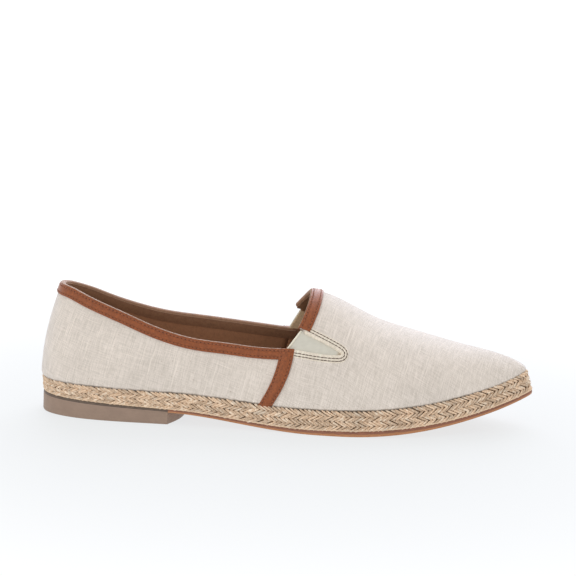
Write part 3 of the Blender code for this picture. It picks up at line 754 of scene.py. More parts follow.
# painted light: the elastic's inner face gets a lighter, warmer colour than its outer face, for the light
# inside the shoe
elastic_inner_painted_light_material = plain("elastic_inside", rgb(224, 196, 158), 0.85, 1.0, 0.08, 0.12)
cream_material = plain("cream_edge", rgb(232, 226, 208), 0.8, 1.5, 0.05, 0.06)
jute_material = jute("jute", rgb(246, 218, 190), rgb(178, 146, 112), rgb(253, 240, 220))
# painted shade: a dark brown that stands for the shade in the gaps between the plies; the hidden core takes
# it too
jute_gap_shade_material = plain("jute_back", rgb(108, 79, 50), 0.95, 1.2, 0.2, 0.3)
# partly a real welt stitch, partly painted shadow where the linen meets the plait
welt_shade_material = plain("welt_shade_thread", rgb(96, 80, 62), 0.95, 1.2, 0.1, 0.2)
jute_edge_material = plain("jute_edge", rgb(222, 194, 164), 0.9, 0.9, 0.15, 0.15)
sock_material = leather("sock", rgb(112, 78, 56), rgb(140, 104, 78), 1.1, 0.5)


# ---------------------------------------------------------------- the linen and its lining

FINE_RIB = np.linspace(-1, 1, 1601)
FINE_RUN = run_along(np.stack(outline(FINE_RIB, 0.0), -1))
FINE_RUN = FINE_RUN - np.interp(0.0, FINE_RIB, FINE_RUN)
AROUND = FINE_RUN[-1] - FINE_RUN[0]


def run_of(r):
    """The distance round the outline from the heel to the rib r, negative on the lateral side."""
    return np.interp(r, FINE_RIB, FINE_RUN)


def rib_after(run):
    return np.interp(run, FINE_RUN, FINE_RIB)


def rows_to(r, top, count):
    """The heights of the rows up each rib: the hidden foot, the bulge over the rand, then evenly."""
    foot = surface(r, 0.0)[..., 2] + RAND_OVERLAP
    low = climb_to(r, lambda p: p[..., 2] > foot)
    high = climb_to(r, lambda p: p[..., 2] > foot + BULGE_RISE)
    rows = [0 * low, low * 0.5, low]
    rows += [low + (high - low) * k / 4 for k in range(1, 5)]
    rows += [high + (top - high) * k / count for k in range(1, count + 1)]
    return np.stack(rows, -1)


def quarter_places(columns, rows):
    """Places (r, q) over the quarter, from the lateral seam round the heel to the medial seam."""
    ribs, heights = [], []
    for side in (LATERAL, MEDIAL):
        share = np.arange(columns, -1 if side == LATERAL else 0, -1) / columns
        limit = collar_q(side)
        top = np.full(share.shape, limit)
        for _ in range(4):
            r = share * front_rib(np.minimum(top, limit), side)
            top = np.where(share > 0, topline_q(r), topline_q(r * 0))
        q = rows_to(share * front_rib(np.full(share.shape, 0.1), side), top, rows)
        r = share[:, None] * front_rib(np.minimum(q, limit), side)
        if side == MEDIAL:
            r, q = r[::-1], q[::-1]
        ribs.append(r)
        heights.append(q)
    return np.concatenate(ribs), np.concatenate(heights)


def vamp_places(throat, toe, rows):
    """Places over the vamp as arches, from the rear edge to the toe. Rows run from the lateral foot
    over the crest to the medial foot."""
    halves = {}
    for side in (LATERAL, MEDIAL):
        share = np.arange(throat) / throat
        last = side * float(rib_of(THROAT_END_X))
        first = float(front_rib(0.1, side))
        last_run, end_run = run_of(last), run_of(side * 1.0)
        feet = rib_after(last_run + (end_run - last_run) * np.arange(toe + 1) / toe)
        feet[-1] = side
        foot = np.concatenate((first + (last - first) * share, feet))
        q = rows_to(foot, np.ones(foot.shape), rows)
        edge = front_rib(q[:throat], side)
        r = np.repeat(foot[:, None], q.shape[1], 1)
        r[:throat] = edge + (last - edge) * share[:, None]
        halves[side] = r, q
    return [np.concatenate((a, b[:, -2::-1]), 1) for a, b in zip(halves[LATERAL], halves[MEDIAL])]


def vamp_cloth(r, q):
    """Millimetres over the vamp's cloth: along the shoe, and down from the crest to either side.
    The way down is measured across the shoe only."""
    count = 16
    line = surface(r[..., None], q[..., None] + (1 - q[..., None]) * np.linspace(0, 1, count + 1))
    across = np.diff(line, axis=-2)[..., 1:]
    step = np.linalg.norm(across, axis=-1).sum(-1)
    return np.stack((surface(r, q)[..., 0], np.sign(r) * step, 0 * r), -1)


def quarter_cloth(r, q):
    """Millimetres over the quarter's cloth: round the shoe, and up from the rand."""
    count = 10
    line = surface(r[..., None], q[..., None] * np.linspace(0, 1, count + 1))
    step = np.linalg.norm(np.diff(line, axis=-2), axis=-1).sum(-1)
    return np.stack((-run_of(r) + 400, step, 0 * r), -1)


CREASES = (  # side, x, z, end x, end z, width, depth
    (LATERAL, 250.0, 30.0, 215.0, 34.0, 5.0, 0.25),
    (LATERAL, 200.0, 22.0, 160.0, 24.0, 8.0, 0.20),
    (LATERAL, 60.0, 24.0, 20.0, 30.0, 7.0, 0.20),
    (MEDIAL, 196.0, 24.0, 158.0, 22.0, 8.0, 0.25),
    (MEDIAL, 60.0, 22.0, 24.0, 27.0, 7.0, 0.20),
)
PUCKER_PITCH, PUCKER_HEIGHT, PUCKER_START, PUCKER_RISE = 6.1, 0.12, 1.5, 8.0
PUCKER_DRIFT, PUCKER_DRIFT_LENGTH = 1.7, 9.0
BULGE_START, BULGE_SHARE = 1.1, 0.85


def crease_height(points, r):
    """How far the cloth stands off the last: soft troughs, and puckers along the rand."""
    height = np.zeros(r.shape)
    for side, x, z, end_x, end_z, width, depth in CREASES:
        start, run = np.array((x, z)), np.array((end_x - x, end_z - z))
        offset = points[..., (0, 2)] - start
        t = np.clip(offset @ run / (run @ run), 0, 1)
        away = np.linalg.norm(offset - t[..., None] * run, axis=-1)
        trough = bell(away / width) * np.sqrt(np.sin(math.pi * np.clip(t, 0.02, 0.98)))
        height -= np.where(np.sign(r) == side, depth * trough, 0)
    above = points[..., 2] - surface(r, 0.0)[..., 2] - RAND_OVERLAP
    sooner = smooth(above / BULGE_START) - smooth(above / BULGE_RISE)
    height += np.maximum(sooner, 0) * bulge(section_x(r)) * BULGE_SHARE
    run = run_of(r)
    drift = PUCKER_DRIFT * np.sin(run / PUCKER_DRIFT_LENGTH)
    wave = np.sin(run * 2 * math.pi / PUCKER_PITCH + drift)
    fade = smooth(above / PUCKER_START) * (1 - smooth((above - PUCKER_START) / PUCKER_RISE))
    return height + PUCKER_HEIGHT * wave * fade


TIP_CORE, TIP_CORE_REACH = (254.0, TIP_Y, 19.0), 9.0
WELD_DISTANCE = 0.01


def cloth_sheet(name, places, lift, material, slot, cloth, flip, hole, thickness):
    """A sheet of cloth over the last with the gores' notches left open. Below the linen, where
    lift is negative, it is smooth, and draws in round the toe's tip."""
    r, q = places
    base = surface(r, q)
    outward = normal(r, q)
    height = np.asarray(lift) if lift else crease_height(base, r)
    if lift < 0:
        share = smooth((base[..., :1] - TIP_CORE[0]) / TIP_CORE_REACH)
        outward = unit(outward * (1 - share) + unit(base - np.array(TIP_CORE)) * share)
    points = base + outward * height[..., None]
    faces = np.array(grid_faces(*r.shape))
    middle = base.reshape(-1, 3)[faces].mean(1)
    side = np.sign(r.reshape(-1)[faces].mean(1))
    keep = np.ones(len(faces), bool)
    for s in SIDES:
        keep &= ~(in_notch(middle, s, hole) & (side == s))
    faces = faces[keep]
    if flip:
        faces = faces[:, ::-1]
    above = base[..., 2] - surface(r, 0.0)[..., 2] - RAND_OVERLAP
    foot = np.stack((above, 0 * above, 0 * above), -1)
    marks = {"cloth": cloth(r, q), "place": base, "foot": foot}
    piece = add_piece(name, points, faces.tolist(), slot, material, marks, ("upper",))
    weld = piece.modifiers.new("weld", "WELD")
    weld.merge_threshold = WELD_DISTANCE * MM
    thicken(piece, thickness)


VAMP_GRID = (20, 100, 66)
COATS = (  # slot, material, lift, how far its hole passes the notch, thickness, the quarter's grid
    ("linen", linen_material, 0.0, 1.4, 0.9, (118, 42)),
    ("lining", lining_material, -1.0, 1.0, 0.8, (64, 20)),
)


def make_upper():
    for slot, material, lift, hole, thickness, quarter_grid in COATS:
        for part, places, cloth, flip in (
            ("quarter", quarter_places(*quarter_grid), quarter_cloth, False),
            ("vamp", vamp_places(*VAMP_GRID), vamp_cloth, True),
        ):
            cloth_sheet(f"{slot}_{part}", places, lift, material, slot, cloth, flip, hole, thickness)


# ---------------------------------------------------------------- strips sewn over the upper


def over_surface(r, q, flat, widths, heights):
    """Rings of a strip that lies over the upper: each profile point goes that far from (r, q)
    towards flat, and stands that high off the surface."""
    n, m = len(r), len(widths)
    widths = np.broadcast_to(widths, (n, m))
    heights = np.broadcast_to(heights, (n, m))
    face = normal(r, q)
    flat = unit(flat - face * (flat * face).sum(-1, keepdims=True))
    rr, qq = np.repeat(r[:, None], m, 1), np.repeat(q[:, None], m, 1)
    rr, qq = walk(rr, qq, np.repeat(flat[:, None], m, 1), np.maximum(widths, 0))
    points = surface(rr, qq) + normal(rr, qq) * heights[..., None]
    beside = surface(r, q)[:, None] + flat[:, None] * widths[..., None] + face[:, None] * heights[..., None]
    return np.where(widths[..., None] <= 0, beside, points)


def cross_headings(r, q, sign):
    """At each place of a path, the way over the surface at right angles to the path."""
    spots = surface(r, q)
    run = np.gradient(spots, axis=0)
    return unit(np.cross(normal(r, q), run)) * sign


def even_path(r, q, step):
    """The path resampled to even steps over the surface."""
    run = run_along(surface(r, q))
    at = np.linspace(0, run[-1], max(2, int(round(run[-1] / step)) + 1))
    return np.interp(at, run, r), np.interp(at, run, q)


def strip_marks(ring, widths):
    """The mark place: distances along the strip and over its width."""
    along = np.linalg.norm(np.diff(ring, axis=0), axis=-1).mean(1)
    along = np.concatenate(((0,), np.cumsum(along)))
    return {"place": np.stack(np.broadcast_arrays(along[:, None], widths, np.zeros((1, 1))), -1)}


# Stitches: pitch, length, half width, half thickness, and how far they stand up
TAN_STITCH, LIP_STITCH = (2.07, 1.45, 0.27, 0.2, 0.16), (2.0, 2.12, 0.22, 0.2, 0.14)
HOLE, NARROW_HOLE, HOLE_PHASE = (2.07, 0.8, 0.3, 0.12, 0.1), (2.07, 0.8, 0.2, 0.12, 0.1), 0.67


def stitch_row(name, line, ups, stitch, slot, material, phase=0.0):
    """Stitches along a line of points: each dips into the cloth at its two ends."""
    pitch, length, wide, thick, lift = stitch
    run = run_along(line)
    starts = np.arange(phase * pitch, run[-1] - length, pitch)
    share = np.linspace(0, 1, 6)
    at = starts[:, None] + share * length
    centre = np.stack([np.interp(at, run, line[:, k]) for k in range(3)], -1)
    up = unit(np.stack([np.interp(at, run, ups[:, k]) for k in range(3)], -1))
    hump = np.sin(math.pi * share)
    centre = centre + up * (lift * (0.35 + 0.65 * hump) - thick * (1 - hump))[None, :, None]
    swell = 0.45 + 0.55 * np.sqrt(hump)
    tubes(name, centre, up, wide * swell, thick * swell, slot, material, 6)


def tan_seam(name, k, line, ups, hole=HOLE):
    """A row of tan stitches, and dark dashes between them: painted shade in the stitch holes."""
    stitch_row(f"{name}_thread_{k}", line, ups, TAN_STITCH, "leather", tan_thread_material)
    stitch_row(f"{name}_hole_{k}", line, ups, hole, "leather", stitch_hole_shade_material, HOLE_PHASE)


BINDING_WIDTHS = (
    (4.90, 0.10), (4.98, 0.45), (4.86, 0.80), (4.58, 0.98), (4.22, 1.00), (3.96, 0.86), (3.64, 0.86),
    (3.36, 1.02), (2.90, 1.12), (2.30, 1.15), (1.60, 1.13), (0.98, 1.04), (0.64, 0.88), (0.28, 0.86),
    (-0.02, 0.98), (-0.36, 0.92), (-0.70, 0.68), (-0.95, 0.28), (-1.08, -0.18), (-1.12, -0.60),
    (-1.10, -1.05), (-0.98, -1.50), (-0.70, -1.90), (-0.25, -2.08), (0.30, -2.08), (0.30, -1.86),
    (-0.30, -1.80), (-0.40, -0.90), (-0.40, 0.08), (2.20, 0.10),
)
FACING_WIDTHS = (
    (-0.80, 0.76), (-1.06, 0.34), (-1.20, -0.16), (-1.24, -0.72), (-1.22, -1.20), (-1.08, -1.70),
    (-0.76, -2.12), (-0.25, -2.30), (0.60, -2.36), (2.00, -2.36), (3.20, -2.28), (4.40, -2.10),
    (5.40, -1.93), (5.40, -1.86), (2.50, -1.86), (0.20, -2.10), (-0.60, -1.96), (-0.92, -1.55),
    (-1.04, -1.00), (-1.02, -0.40), (-0.90, 0.10), (-0.62, 0.60),
)
FACING_EDGE = -0.12, -2.36
BINDING_LEG, BINDING_SEAMS, BINDING_SEAM_LEVEL = 0.6, (0.46, 3.80), 0.9


def profile(table):
    """A profile's widths and heights."""
    table = np.array(table)
    return table[:, 0], table[:, 1]


def binding(name, r, q, sign, step, wider=1.0):
    """A leather binding folded over the upper's edge, its seams, and the facing inside it. wider
    stretches the leg that lies over the upper."""
    r, q = even_path(r, q, step)
    heading = cross_headings(r, q, sign)
    widths, heights = profile(BINDING_WIDTHS)
    widths = np.where(widths > BINDING_LEG, widths * wider, widths)
    ring = over_surface(r, q, heading, widths, heights)
    closed_strip(name, ring, strip_marks(ring, widths), "leather", leather_material, (name,))
    widths, heights = profile(FACING_WIDTHS)
    ring = over_surface(r, q, heading, widths, heights)
    closed_strip(name + "_facing", ring, strip_marks(ring, widths), "lining", facing_material, (name,))
    width, height = FACING_EDGE
    line = over_surface(r, q, heading, (width,), (height,))[:, 0]
    tubes(name + "_inner_edge", line[None], -normal(r, q)[None], 0.16, 0.12, "lining", edge_material, 6)
    for k, (stretch, hole) in enumerate(((1.0, HOLE), (wider, NARROW_HOLE))):
        line = over_surface(r, q, heading, (BINDING_SEAMS[k] * stretch,), (BINDING_SEAM_LEVEL,))[:, 0]
        tan_seam(name, k, line, normal(r, q), hole)


def make_quarter_binding():
    end = STRIP_TOP_X + STRIP_WIDTH - 0.5
    ends = [float(locate(end, topline[side](end), side)[0]) for side in (LATERAL, MEDIAL)]
    r = np.concatenate((np.linspace(ends[0], 0, 160)[:-1], np.linspace(0, ends[1], 160)))
    binding("quarter_binding", r, topline_q(r), 1, 1.3)


def make_throat_binding():
    lateral = np.linspace(notch(LATERAL, "corner q"), 1, 60)
    medial = np.linspace(notch(MEDIAL, "corner q"), 1, 60)[-2::-1]
    r = np.concatenate((front_rib(lateral, LATERAL), -front_rib(medial, MEDIAL)))
    q = np.concatenate((lateral, 2 - medial))
    binding("throat_binding", r, q, -1, 0.9, 1.15)


STRIP_PROFILE = (
    (0.00, 0.20), (-0.06, 0.60), (0.05, 0.95), (0.35, 1.16), (0.72, 1.22), (1.00, 1.06), (1.30, 1.06),
    (1.62, 1.24), (2.60, 1.36), (3.75, 1.40), (4.90, 1.36), (5.88, 1.24), (6.20, 1.06), (6.50, 1.06),
    (6.78, 1.22), (7.15, 1.16), (7.45, 0.95), (7.56, 0.60), (7.50, 0.20), (3.75, 0.20),
)
STRIP_SEAMS, STRIP_SEAM_LEVEL = (1.15, 6.35), 1.08
STRIP_RISE, STRIP_RISE_END = 0.3, 0.22
STRIP_HEM, STRIP_HEM_LIFT = 0.036, 0.24


def strip_spot(side, across, t):
    """Where the strip's place (across in millimetres, t from 0 at its top to 1 at its foot) lies."""
    top_x = STRIP_TOP_X + across
    foot_x = STRIP_FOOT_X + across * STRIP_FOOT_WIDTH / STRIP_WIDTH
    top = topline[side](top_x) + 0.7
    foot = sole_top(foot_x) + rand_height(foot_x) - 1.0
    share = (1 - STRIP_CURVE) * t + STRIP_CURVE * t * t
    return top_x + (foot_x - top_x) * share, top + (foot - top) * t


def strip_rise(t):
    """How much higher the strip lies where it passes over the binding."""
    return STRIP_RISE * (1 - smooth(t / STRIP_RISE_END))


def make_side_strip(side):
    name = "side_strip_" + SIDES[side]
    t = np.linspace(0, 1, 30)
    across, heights = profile(STRIP_PROFILE)
    r, q = locate(*strip_spot(side, across[None, :], t[:, None]), side)
    ring = off_surface(r, q, heights[None, :] + strip_rise(t)[:, None])
    closed_strip(name, ring, strip_marks(ring, across), "leather", leather_material, (name,))
    share = np.linspace(0.07, 0.97, 60)
    rows = [(np.full(60, seam), share) for seam in STRIP_SEAMS]
    rows.append((np.linspace(0.9, STRIP_WIDTH - 0.7, 60), np.full(60, STRIP_HEM)))
    for k, (seam, t) in enumerate(rows):
        r, q = locate(*strip_spot(side, seam, t), side)
        level = STRIP_SEAM_LEVEL + strip_rise(t) + STRIP_HEM_LIFT * (t == STRIP_HEM)
        tan_seam(name, k, off_surface(r, q, level), normal(r, q))


# ---------------------------------------------------------------- the gores

LIP_PROFILE = (
    (0.10, -1.00), (-0.02, -0.70), (0.00, -0.30), (0.12, 0.12), (0.45, 0.46), (0.90, 0.58),
    (1.30, 0.50), (1.77, 0.22), (2.10, 0.42), (2.45, 0.50), (2.75, 0.40), (3.09, 0.12), (3.45, 0.20),
    (3.80, 0.12), (4.20, -0.15), (4.30, -0.60), (2.20, -0.90),
)
BAND_PROFILE = ((0.0, -1.5), (0.0, -2.0), (0.3, -2.15), (3.8, -2.15), (4.2, -2.0), (4.2, -1.7))
LIP_SEAMS = ((1.77, 0.3), (3.09, 0.2))
LIP_END_TUCK, FOLD_FOOT = 0.05, 9.0


def notch_path(side, outwards, step):
    """Even steps along the notch's edge, as w, with both ends tucked under their neighbours."""
    w = np.linspace(notch(side, "low end") + LIP_END_TUCK, notch(side, "high end") - LIP_END_TUCK, 400)
    line = notch_line(side, w, np.full(w.shape, outwards))
    run = run_along(line)
    return np.interp(np.linspace(0, run[-1], int(run[-1] / step) + 1), run, w)


def notch_ring(side, w, table):
    """A profile that follows the notch's edge: its places r and q, its points, and its widths."""
    out, heights = profile(table)
    spots = notch_line(side, np.repeat(w[:, None], len(out), 1), np.repeat(out[None], len(w), 0))
    r, q = locate(spots[..., 0], spots[..., 1], side)
    return r, q, off_surface(r, q, heights[None, :]), out


def make_lip(side):
    """The linen's folded edge round the gore, and its two rows of dark stitches."""
    name = "gore_lip_" + SIDES[side]
    r, q, ring, _ = notch_ring(side, notch_path(side, 1.0, 0.8), LIP_PROFILE)
    marks = {"cloth": vamp_cloth(r, q), "place": surface(r, q), "foot": np.full(ring.shape, FOLD_FOOT)}
    closed_strip(name, ring, marks, "linen", fold_material, ("upper",), None)
    for k, (seam, height) in enumerate(LIP_SEAMS):
        w = notch_path(side, seam, 0.4)
        spots = notch_line(side, w, np.full(w.shape, seam))
        r, q = locate(spots[:, 0], spots[:, 1], side)
        line = off_surface(r, q, height)
        stitch_row(f"{name}_thread_{k}", line, normal(r, q), LIP_STITCH, "linen", thread_material)


def make_gore(side):
    """The elastic, a little below the linen, its inner face, and its folded free edge."""
    name = "gore_" + SIDES[side]
    low, high = notch(side, "low end"), notch(side, "high end")
    ends = notch_line(side, np.array((low, high)), np.full(2, GORE_BACK_EDGE))
    share, t = np.linspace(0, 1, 27), np.linspace(0, 1, 31)
    edge = notch_line(side, low + (high - low) * share, np.full(share.shape, GORE_SEWN_EDGE))
    start = ends[0] + (ends[1] - ends[0]) * share[:, None]
    spots = start[:, None] + (edge - start)[:, None] * t[None, :, None]
    r, q = locate(spots[..., 0], spots[..., 1], side)
    sag = GORE_SAG * np.sin(math.pi * share)[:, None] * np.sin(math.pi * t)
    faces = np.array(grid_faces(*r.shape))
    if side == MEDIAL:
        faces = faces[:, ::-1]
    marks = {
        "place": np.stack((spots[..., 0], spots[..., 1], 0 * r), -1),
        # edge runs to 1 at the sewn edge, where the elastic's material paints the shade under the lip
        "edge": np.broadcast_to(t[None, :, None], spots.shape[:2] + (3,)),
    }
    outer, inner = (off_surface(r, q, -GORE_RECESS - depth - sag) for depth in GORE_DEPTHS)
    for tail, points, wall, material in (
        ("", outer, 0.5, elastic_material),
        # the inner face takes the lighter, warmer copy of the elastic: painted light
        ("_inside", inner, 0.35, elastic_inner_painted_light_material),
    ):
        piece = add_piece(name + tail, points, faces.tolist(), "elastic", material, marks, (name,))
        thicken(piece, wall)
    rim = outer[:, 0] + (outer[:, 0] - outer[:, 1]) * 0.1
    up = normal(r[:, 0], q[:, 0])
    tubes(name + "_free_edge", rim[None], up[None], 0.5, 0.62, "elastic", cream_material, 10)


def make_inner_band(side):
    """The lining's edge round the gore, inside the shoe."""
    _, _, ring, out = notch_ring(side, notch_path(side, 1.0, 1.2), BAND_PROFILE)
    marks = strip_marks(ring, out)
    closed_strip("gore_band_" + SIDES[side], ring, marks, "lining", facing_material, ("upper",))


# ---------------------------------------------------------------- the jute rand

PLAIT_PITCH, PLAIT_ZONES, PLY_LENGTH = 5.0, 4, 6.7
HAIRS, HAIR_RADIUS = 220, 0.055
PLY_WIDE, PLY_THICK, ZONE_OVERLAP = 0.61, 0.64, 0.10
PLY_INSET, PLY_ARCH = 1.75, 1.0
PLY_UNEVEN = (0.18, 0.12, 0.010, 0.09, 0.08)  # its start, length, height, inset and width
BANDS = (
    # the backing behind the plies, dark as painted shade in the gaps between them
    ("jute_backing", jute_gap_shade_material, (
        (1.55, 0.0, 0.3), (1.45, 0.5, 0.0), (1.55, 1.0, -0.55), (1.75, 1.0, -0.35), (2.75, 0.9, 0.0),
        (2.75, 0.0, 0.3),
    )),
    ("jute_foot", jute_edge_material, (
        (0.55, 0.0, 0.06), (0.28, 0.0, 0.25), (0.25, 0.0, 0.6), (0.45, 0.0, 0.85), (1.6, 0.0, 0.85),
        (1.6, 0.0, 0.06),
    )),
    # a dark thread at the top of the plait: partly the real stitch, partly painted shadow of the seam
    ("welt_line", welt_shade_material, (
        (FEATHER_INSET - 0.5, 1.0, -0.1), (FEATHER_INSET - 0.52, 1.0, 0.22),
        (FEATHER_INSET - 0.1, 1.0, 0.42), (FEATHER_INSET + 0.4, 1.0, 0.2),
        (FEATHER_INSET + 0.4, 1.0, -0.3),
    )),
)


def rand_point(run, share, inset):
    """The place that far round the outline, at that share of the rand's height."""
    r = rib_after((run - FINE_RUN[0]) % AROUND + FINE_RUN[0])
    x = section_x(r)
    lean = rand_foot_inset(x) * (1 - np.clip(share, 0, 1))
    return raised(r, inset + lean, share * rand_height(x))


def make_plait():
    """Strands that lean one way and then the other, two plies to a strand."""
    rng = np.random.default_rng(7)
    count = int(round(AROUND / PLAIT_PITCH))
    pitch = AROUND / count
    t = np.linspace(0, 1, 9)
    spots = np.meshgrid(np.arange(count) * pitch, np.arange(PLAIT_ZONES), np.arange(2), indexing="ij")
    starts, zones, plies = (a.ravel() for a in spots)
    total = len(starts)
    wobble = rng.normal(0, 1, (total, 5)) * PLY_UNEVEN
    begin = starts + plies * pitch / 2 - PLY_LENGTH * 0.45 + wobble[:, 0]
    along = begin[:, None] + t * (PLY_LENGTH * 0.9 + wobble[:, 1])[:, None]
    up = np.where((zones % 2 == 0)[:, None], 1 - t, t)
    place = up * (1 + 2 * ZONE_OVERLAP) - ZONE_OVERLAP
    share = (zones[:, None] + place) / PLAIT_ZONES + wobble[:, 2:3]
    arch = np.sin(math.pi * t) ** 0.7
    inset = PLY_INSET - PLY_ARCH * arch[None, :] + wobble[:, 3:4]
    centre = rand_point(along, share, inset)
    ups = unit(rand_point(along, share, inset - 1.0) - centre)
    swell = 0.62 + 0.38 * np.sqrt(arch)
    wide = PLY_WIDE * swell * (1 + wobble[:, 4:5])
    thick = PLY_THICK * swell
    tags = rng.random(total)
    tubes("jute_plait", centre, ups, wide, thick, "jute", jute_material, 8, ("rand",), tags)


def make_band(name, material, table, count=420):
    """A closed band round the rand. The table holds (inset, share of the height, extra height)."""
    run = np.linspace(FINE_RUN[0], FINE_RUN[-1], count + 1)[:-1]
    r = rib_after(run)
    x = section_x(r)
    rows = []
    for inset, share, extra in table:
        lean = rand_foot_inset(x) * (1 - share)
        rows.append(raised(r, inset + lean, share * rand_height(x) + extra))
    around = np.repeat(run[:, None], len(table), 1)
    level = np.repeat(np.cumsum([0] + [0.8] * (len(table) - 1))[None], count, 0)
    marks = {"place": np.stack((around, level, 0 * level), -1)}
    faces = grid_faces(count, len(table), wrap_n=True, wrap_m=True)
    face_out(add_piece(name, np.stack(rows, 1), faces, "jute", material, marks, ("rand",), 40))


def make_rand_bands():
    """The plait's backing, dark as painted shade in its gaps, its foot, and a dark thread between it and
    the linen, partly a real stitch and partly painted seam shadow.
    """
    for name, material, table in BANDS:
        make_band(name, material, table)


def make_fibres():
    """Stray hairs that stand off the plait."""
    rng = np.random.default_rng(11)
    count = HAIRS
    t = np.linspace(0, 1, 7)
    begin = rng.random(count) * AROUND
    length = rng.uniform(1.5, 4.5, count)
    slant = rng.normal(0, 0.6, count)
    bend = rng.normal(0, 0.5, count)
    level = rng.uniform(0.1, 0.98, count)
    along = begin[:, None] + length[:, None] * t * np.cos(slant)[:, None]
    rise = (length * np.sin(slant))[:, None] * t + bend[:, None] * t * t
    share = np.clip(level[:, None] + rise / 10.0, 0.02, 1.08)
    stand = rng.uniform(0.1, 0.7, count)
    inset = 0.25 - stand[:, None] * np.sin(math.pi * t * rng.uniform(0.5, 1.0, count)[:, None])
    centre = rand_point(along, share, inset)
    ups = unit(rand_point(along, share, inset - 1.0) - centre)
    thin = HAIR_RADIUS * (1 - 0.6 * t)
    tubes("jute_hairs", centre, ups, thin, thin, "jute", jute_material, 4, ("rand",))


# ---------------------------------------------------------------- under the foot

HEEL_TINT = rgb(150, 126, 109)


def plate(name, rings, slot, material, replaces, stations=150):
    """A slab with the shoe's outline: rings of points from its lower to its upper face."""
    r = np.arange(-stations + 1, stations + 1) / stations
    points = np.concatenate([ring(r) for ring in rings])
    n = len(r)
    faces = []
    for level in range(len(rings) - 1):
        a, b = level * n, (level + 1) * n
        faces += [(a + k, a + (k + 1) % n, b + (k + 1) % n, b + k) for k in range(n)]
    back = stations - 1
    for level in (0, (len(rings) - 1) * n):
        faces.append((level + back, level + back - 1, level + back + 1))
        for k in range(1, stations - 1):
            low, high = level + back - k, level + back + k
            faces.append((low, low - 1, high + 1, high))
        faces.append((level, level + n - 1, level + n - 2))
    level = np.repeat(np.linspace(0, 1, len(rings)), n)
    marks = {"place": points, "level": np.stack((level, level, level), -1)}
    face_out(add_piece(name, points, faces, slot, material, marks, (replaces,), 30))


def sole_ring(inset, share, extra=0.0):
    """A ring of the outsole: share runs from 0 at its lower face to 1 at its upper one."""

    def ring(r):
        rounded = inset * smooth((section_x(r) - HEEL_BREAST_X + 4) / 6) if share < 0.5 else inset
        x, y = outline(r, outsole_inset(section_x(r)) + rounded)
        z = sole_bottom(x) + (sole_top(x) - sole_bottom(x)) * share + extra
        return np.stack((x, y, z), -1)

    return ring


def raised_ring(inset, height):
    return lambda r: raised(r, inset, feather_height(r) + height)


def make_outsole():
    rings = (
        sole_ring(0.45, 0.0), sole_ring(0.10, 0.0, 0.12), sole_ring(0.0, 0.0, 0.4), sole_ring(0.0, 0.6),
        sole_ring(0.08, 0.86), sole_ring(0.35, 1.0),
    )
    plate("outsole_leather", rings, "outsole", outsole_material(), "outsole")


def make_insole():
    inset = FEATHER_INSET + WALL + INSOLE_CLEARANCE
    rings = (
        raised_ring(inset, 0.0), raised_ring(inset, 1.0), raised_ring(inset + 0.15, 1.6),
        raised_ring(inset + 0.6, 1.95), raised_ring(inset + 1.6, INSOLE_THICKNESS),
    )
    plate("sock", rings, "lining", sock_material, "insole")


def outsole_material():
    """Tan leather, darker in the upper half of its edge; over the heel its edge is heel-coloured below and
    dark brown above.
    """
    shade = Shade("outsole", 0.5)
    place = shade.mark("place")
    level = shade.parts(shade.mark("level"))[0]
    mottle = shade.noise(place, 0.35, 4.0, 0.6)
    fine = shade.noise(shade.stretch(place, (0.6, 0.6, 5.0)), 1.2, 3.0)
    wander = shade.math("MULTIPLY_ADD", mottle, 0.3, level)
    low = shade.blotches(mottle, rgb(168, 112, 72), rgb(188, 130, 86))
    high = shade.blotches(mottle, rgb(124, 78, 58), rgb(146, 94, 70))
    ground = shade.mix(shade.span(wander, 0.64, 0.74), low, high)
    ground = shade.patch(ground, fine, 0.5, 0.75, 0.4, rgb(140, 88, 58))
    heel_band = shade.blotches(mottle, rgb(84, 68, 56), rgb(100, 82, 68))
    heel_band = shade.mix(shade.span(level, 0.38, 0.42), HEEL_TINT, heel_band)
    breast = HEEL_BREAST_X + 0.1
    shade.colour(shade.mix(shade.span(shade.parts(place)[0], breast, breast + 0.5), heel_band, ground))
    shade.bump(fine, 0.05, 0.5)
    return shade.material


def heel_material():
    shade = Shade("heel", 0.55)
    place = shade.mark("place")
    grain = shade.noise(shade.stretch(place, (0.25, 0.25, 3.0)), 1.0, 3.0)
    ground = shade.blotches(shade.noise(place, 0.25, 4.0, 0.6), toned(HEEL_TINT, 0.9), HEEL_TINT)
    shade.colour(shade.patch(ground, grain, 0.5, 0.8, 0.3, toned(HEEL_TINT, 0.78)))
    shade.bump(grain, 0.05, 0.4)
    return shade.material


def make_heel():
    """The low heel, with a breast that bows forward."""
    end = float(rib_of(HEEL_BREAST_X))
    t = np.linspace(0, 1, 26)[1:-1]
    rings = []
    for inset, share, lift in ((0.7, 0.0, 0.0), (0.2, 0.0, 0.18), (0.0, 0.0, 0.6), (0.0, 1.0, 0.0)):
        edge_x, edge_y = outline(end * np.linspace(-1, 1, 91), HEEL_INSET + inset)
        bow = (HEEL_BREAST_BULGE - inset * 0.4) * 4 * t * (1 - t)
        breast_x = edge_x[-1] + (edge_x[0] - edge_x[-1]) * t + bow - inset * 0.6
        breast_y = edge_y[-1] + (edge_y[0] - edge_y[-1]) * t
        x, y = np.concatenate((edge_x, breast_x)), np.concatenate((edge_y, breast_y))
        rings.append(np.stack((x, y, share * (SEAT_HEIGHT + SEAT_SLOPE * x) + lift), -1))
    ring = np.stack(rings)
    n, m = ring.shape[:2]
    faces = grid_faces(n, m, wrap_m=True) + [list(range(m)), list(range((n - 1) * m, n * m))]
    marks = {"place": ring}
    face_out(add_piece("heel_block", ring, faces, "heel", heel_material(), marks, ("heel",), 30))


# ---------------------------------------------------------------- floor, light and camera

FLOOR_SIZE, FLOOR_TINT = 30.0, (0.08, 0.08, 0.079)
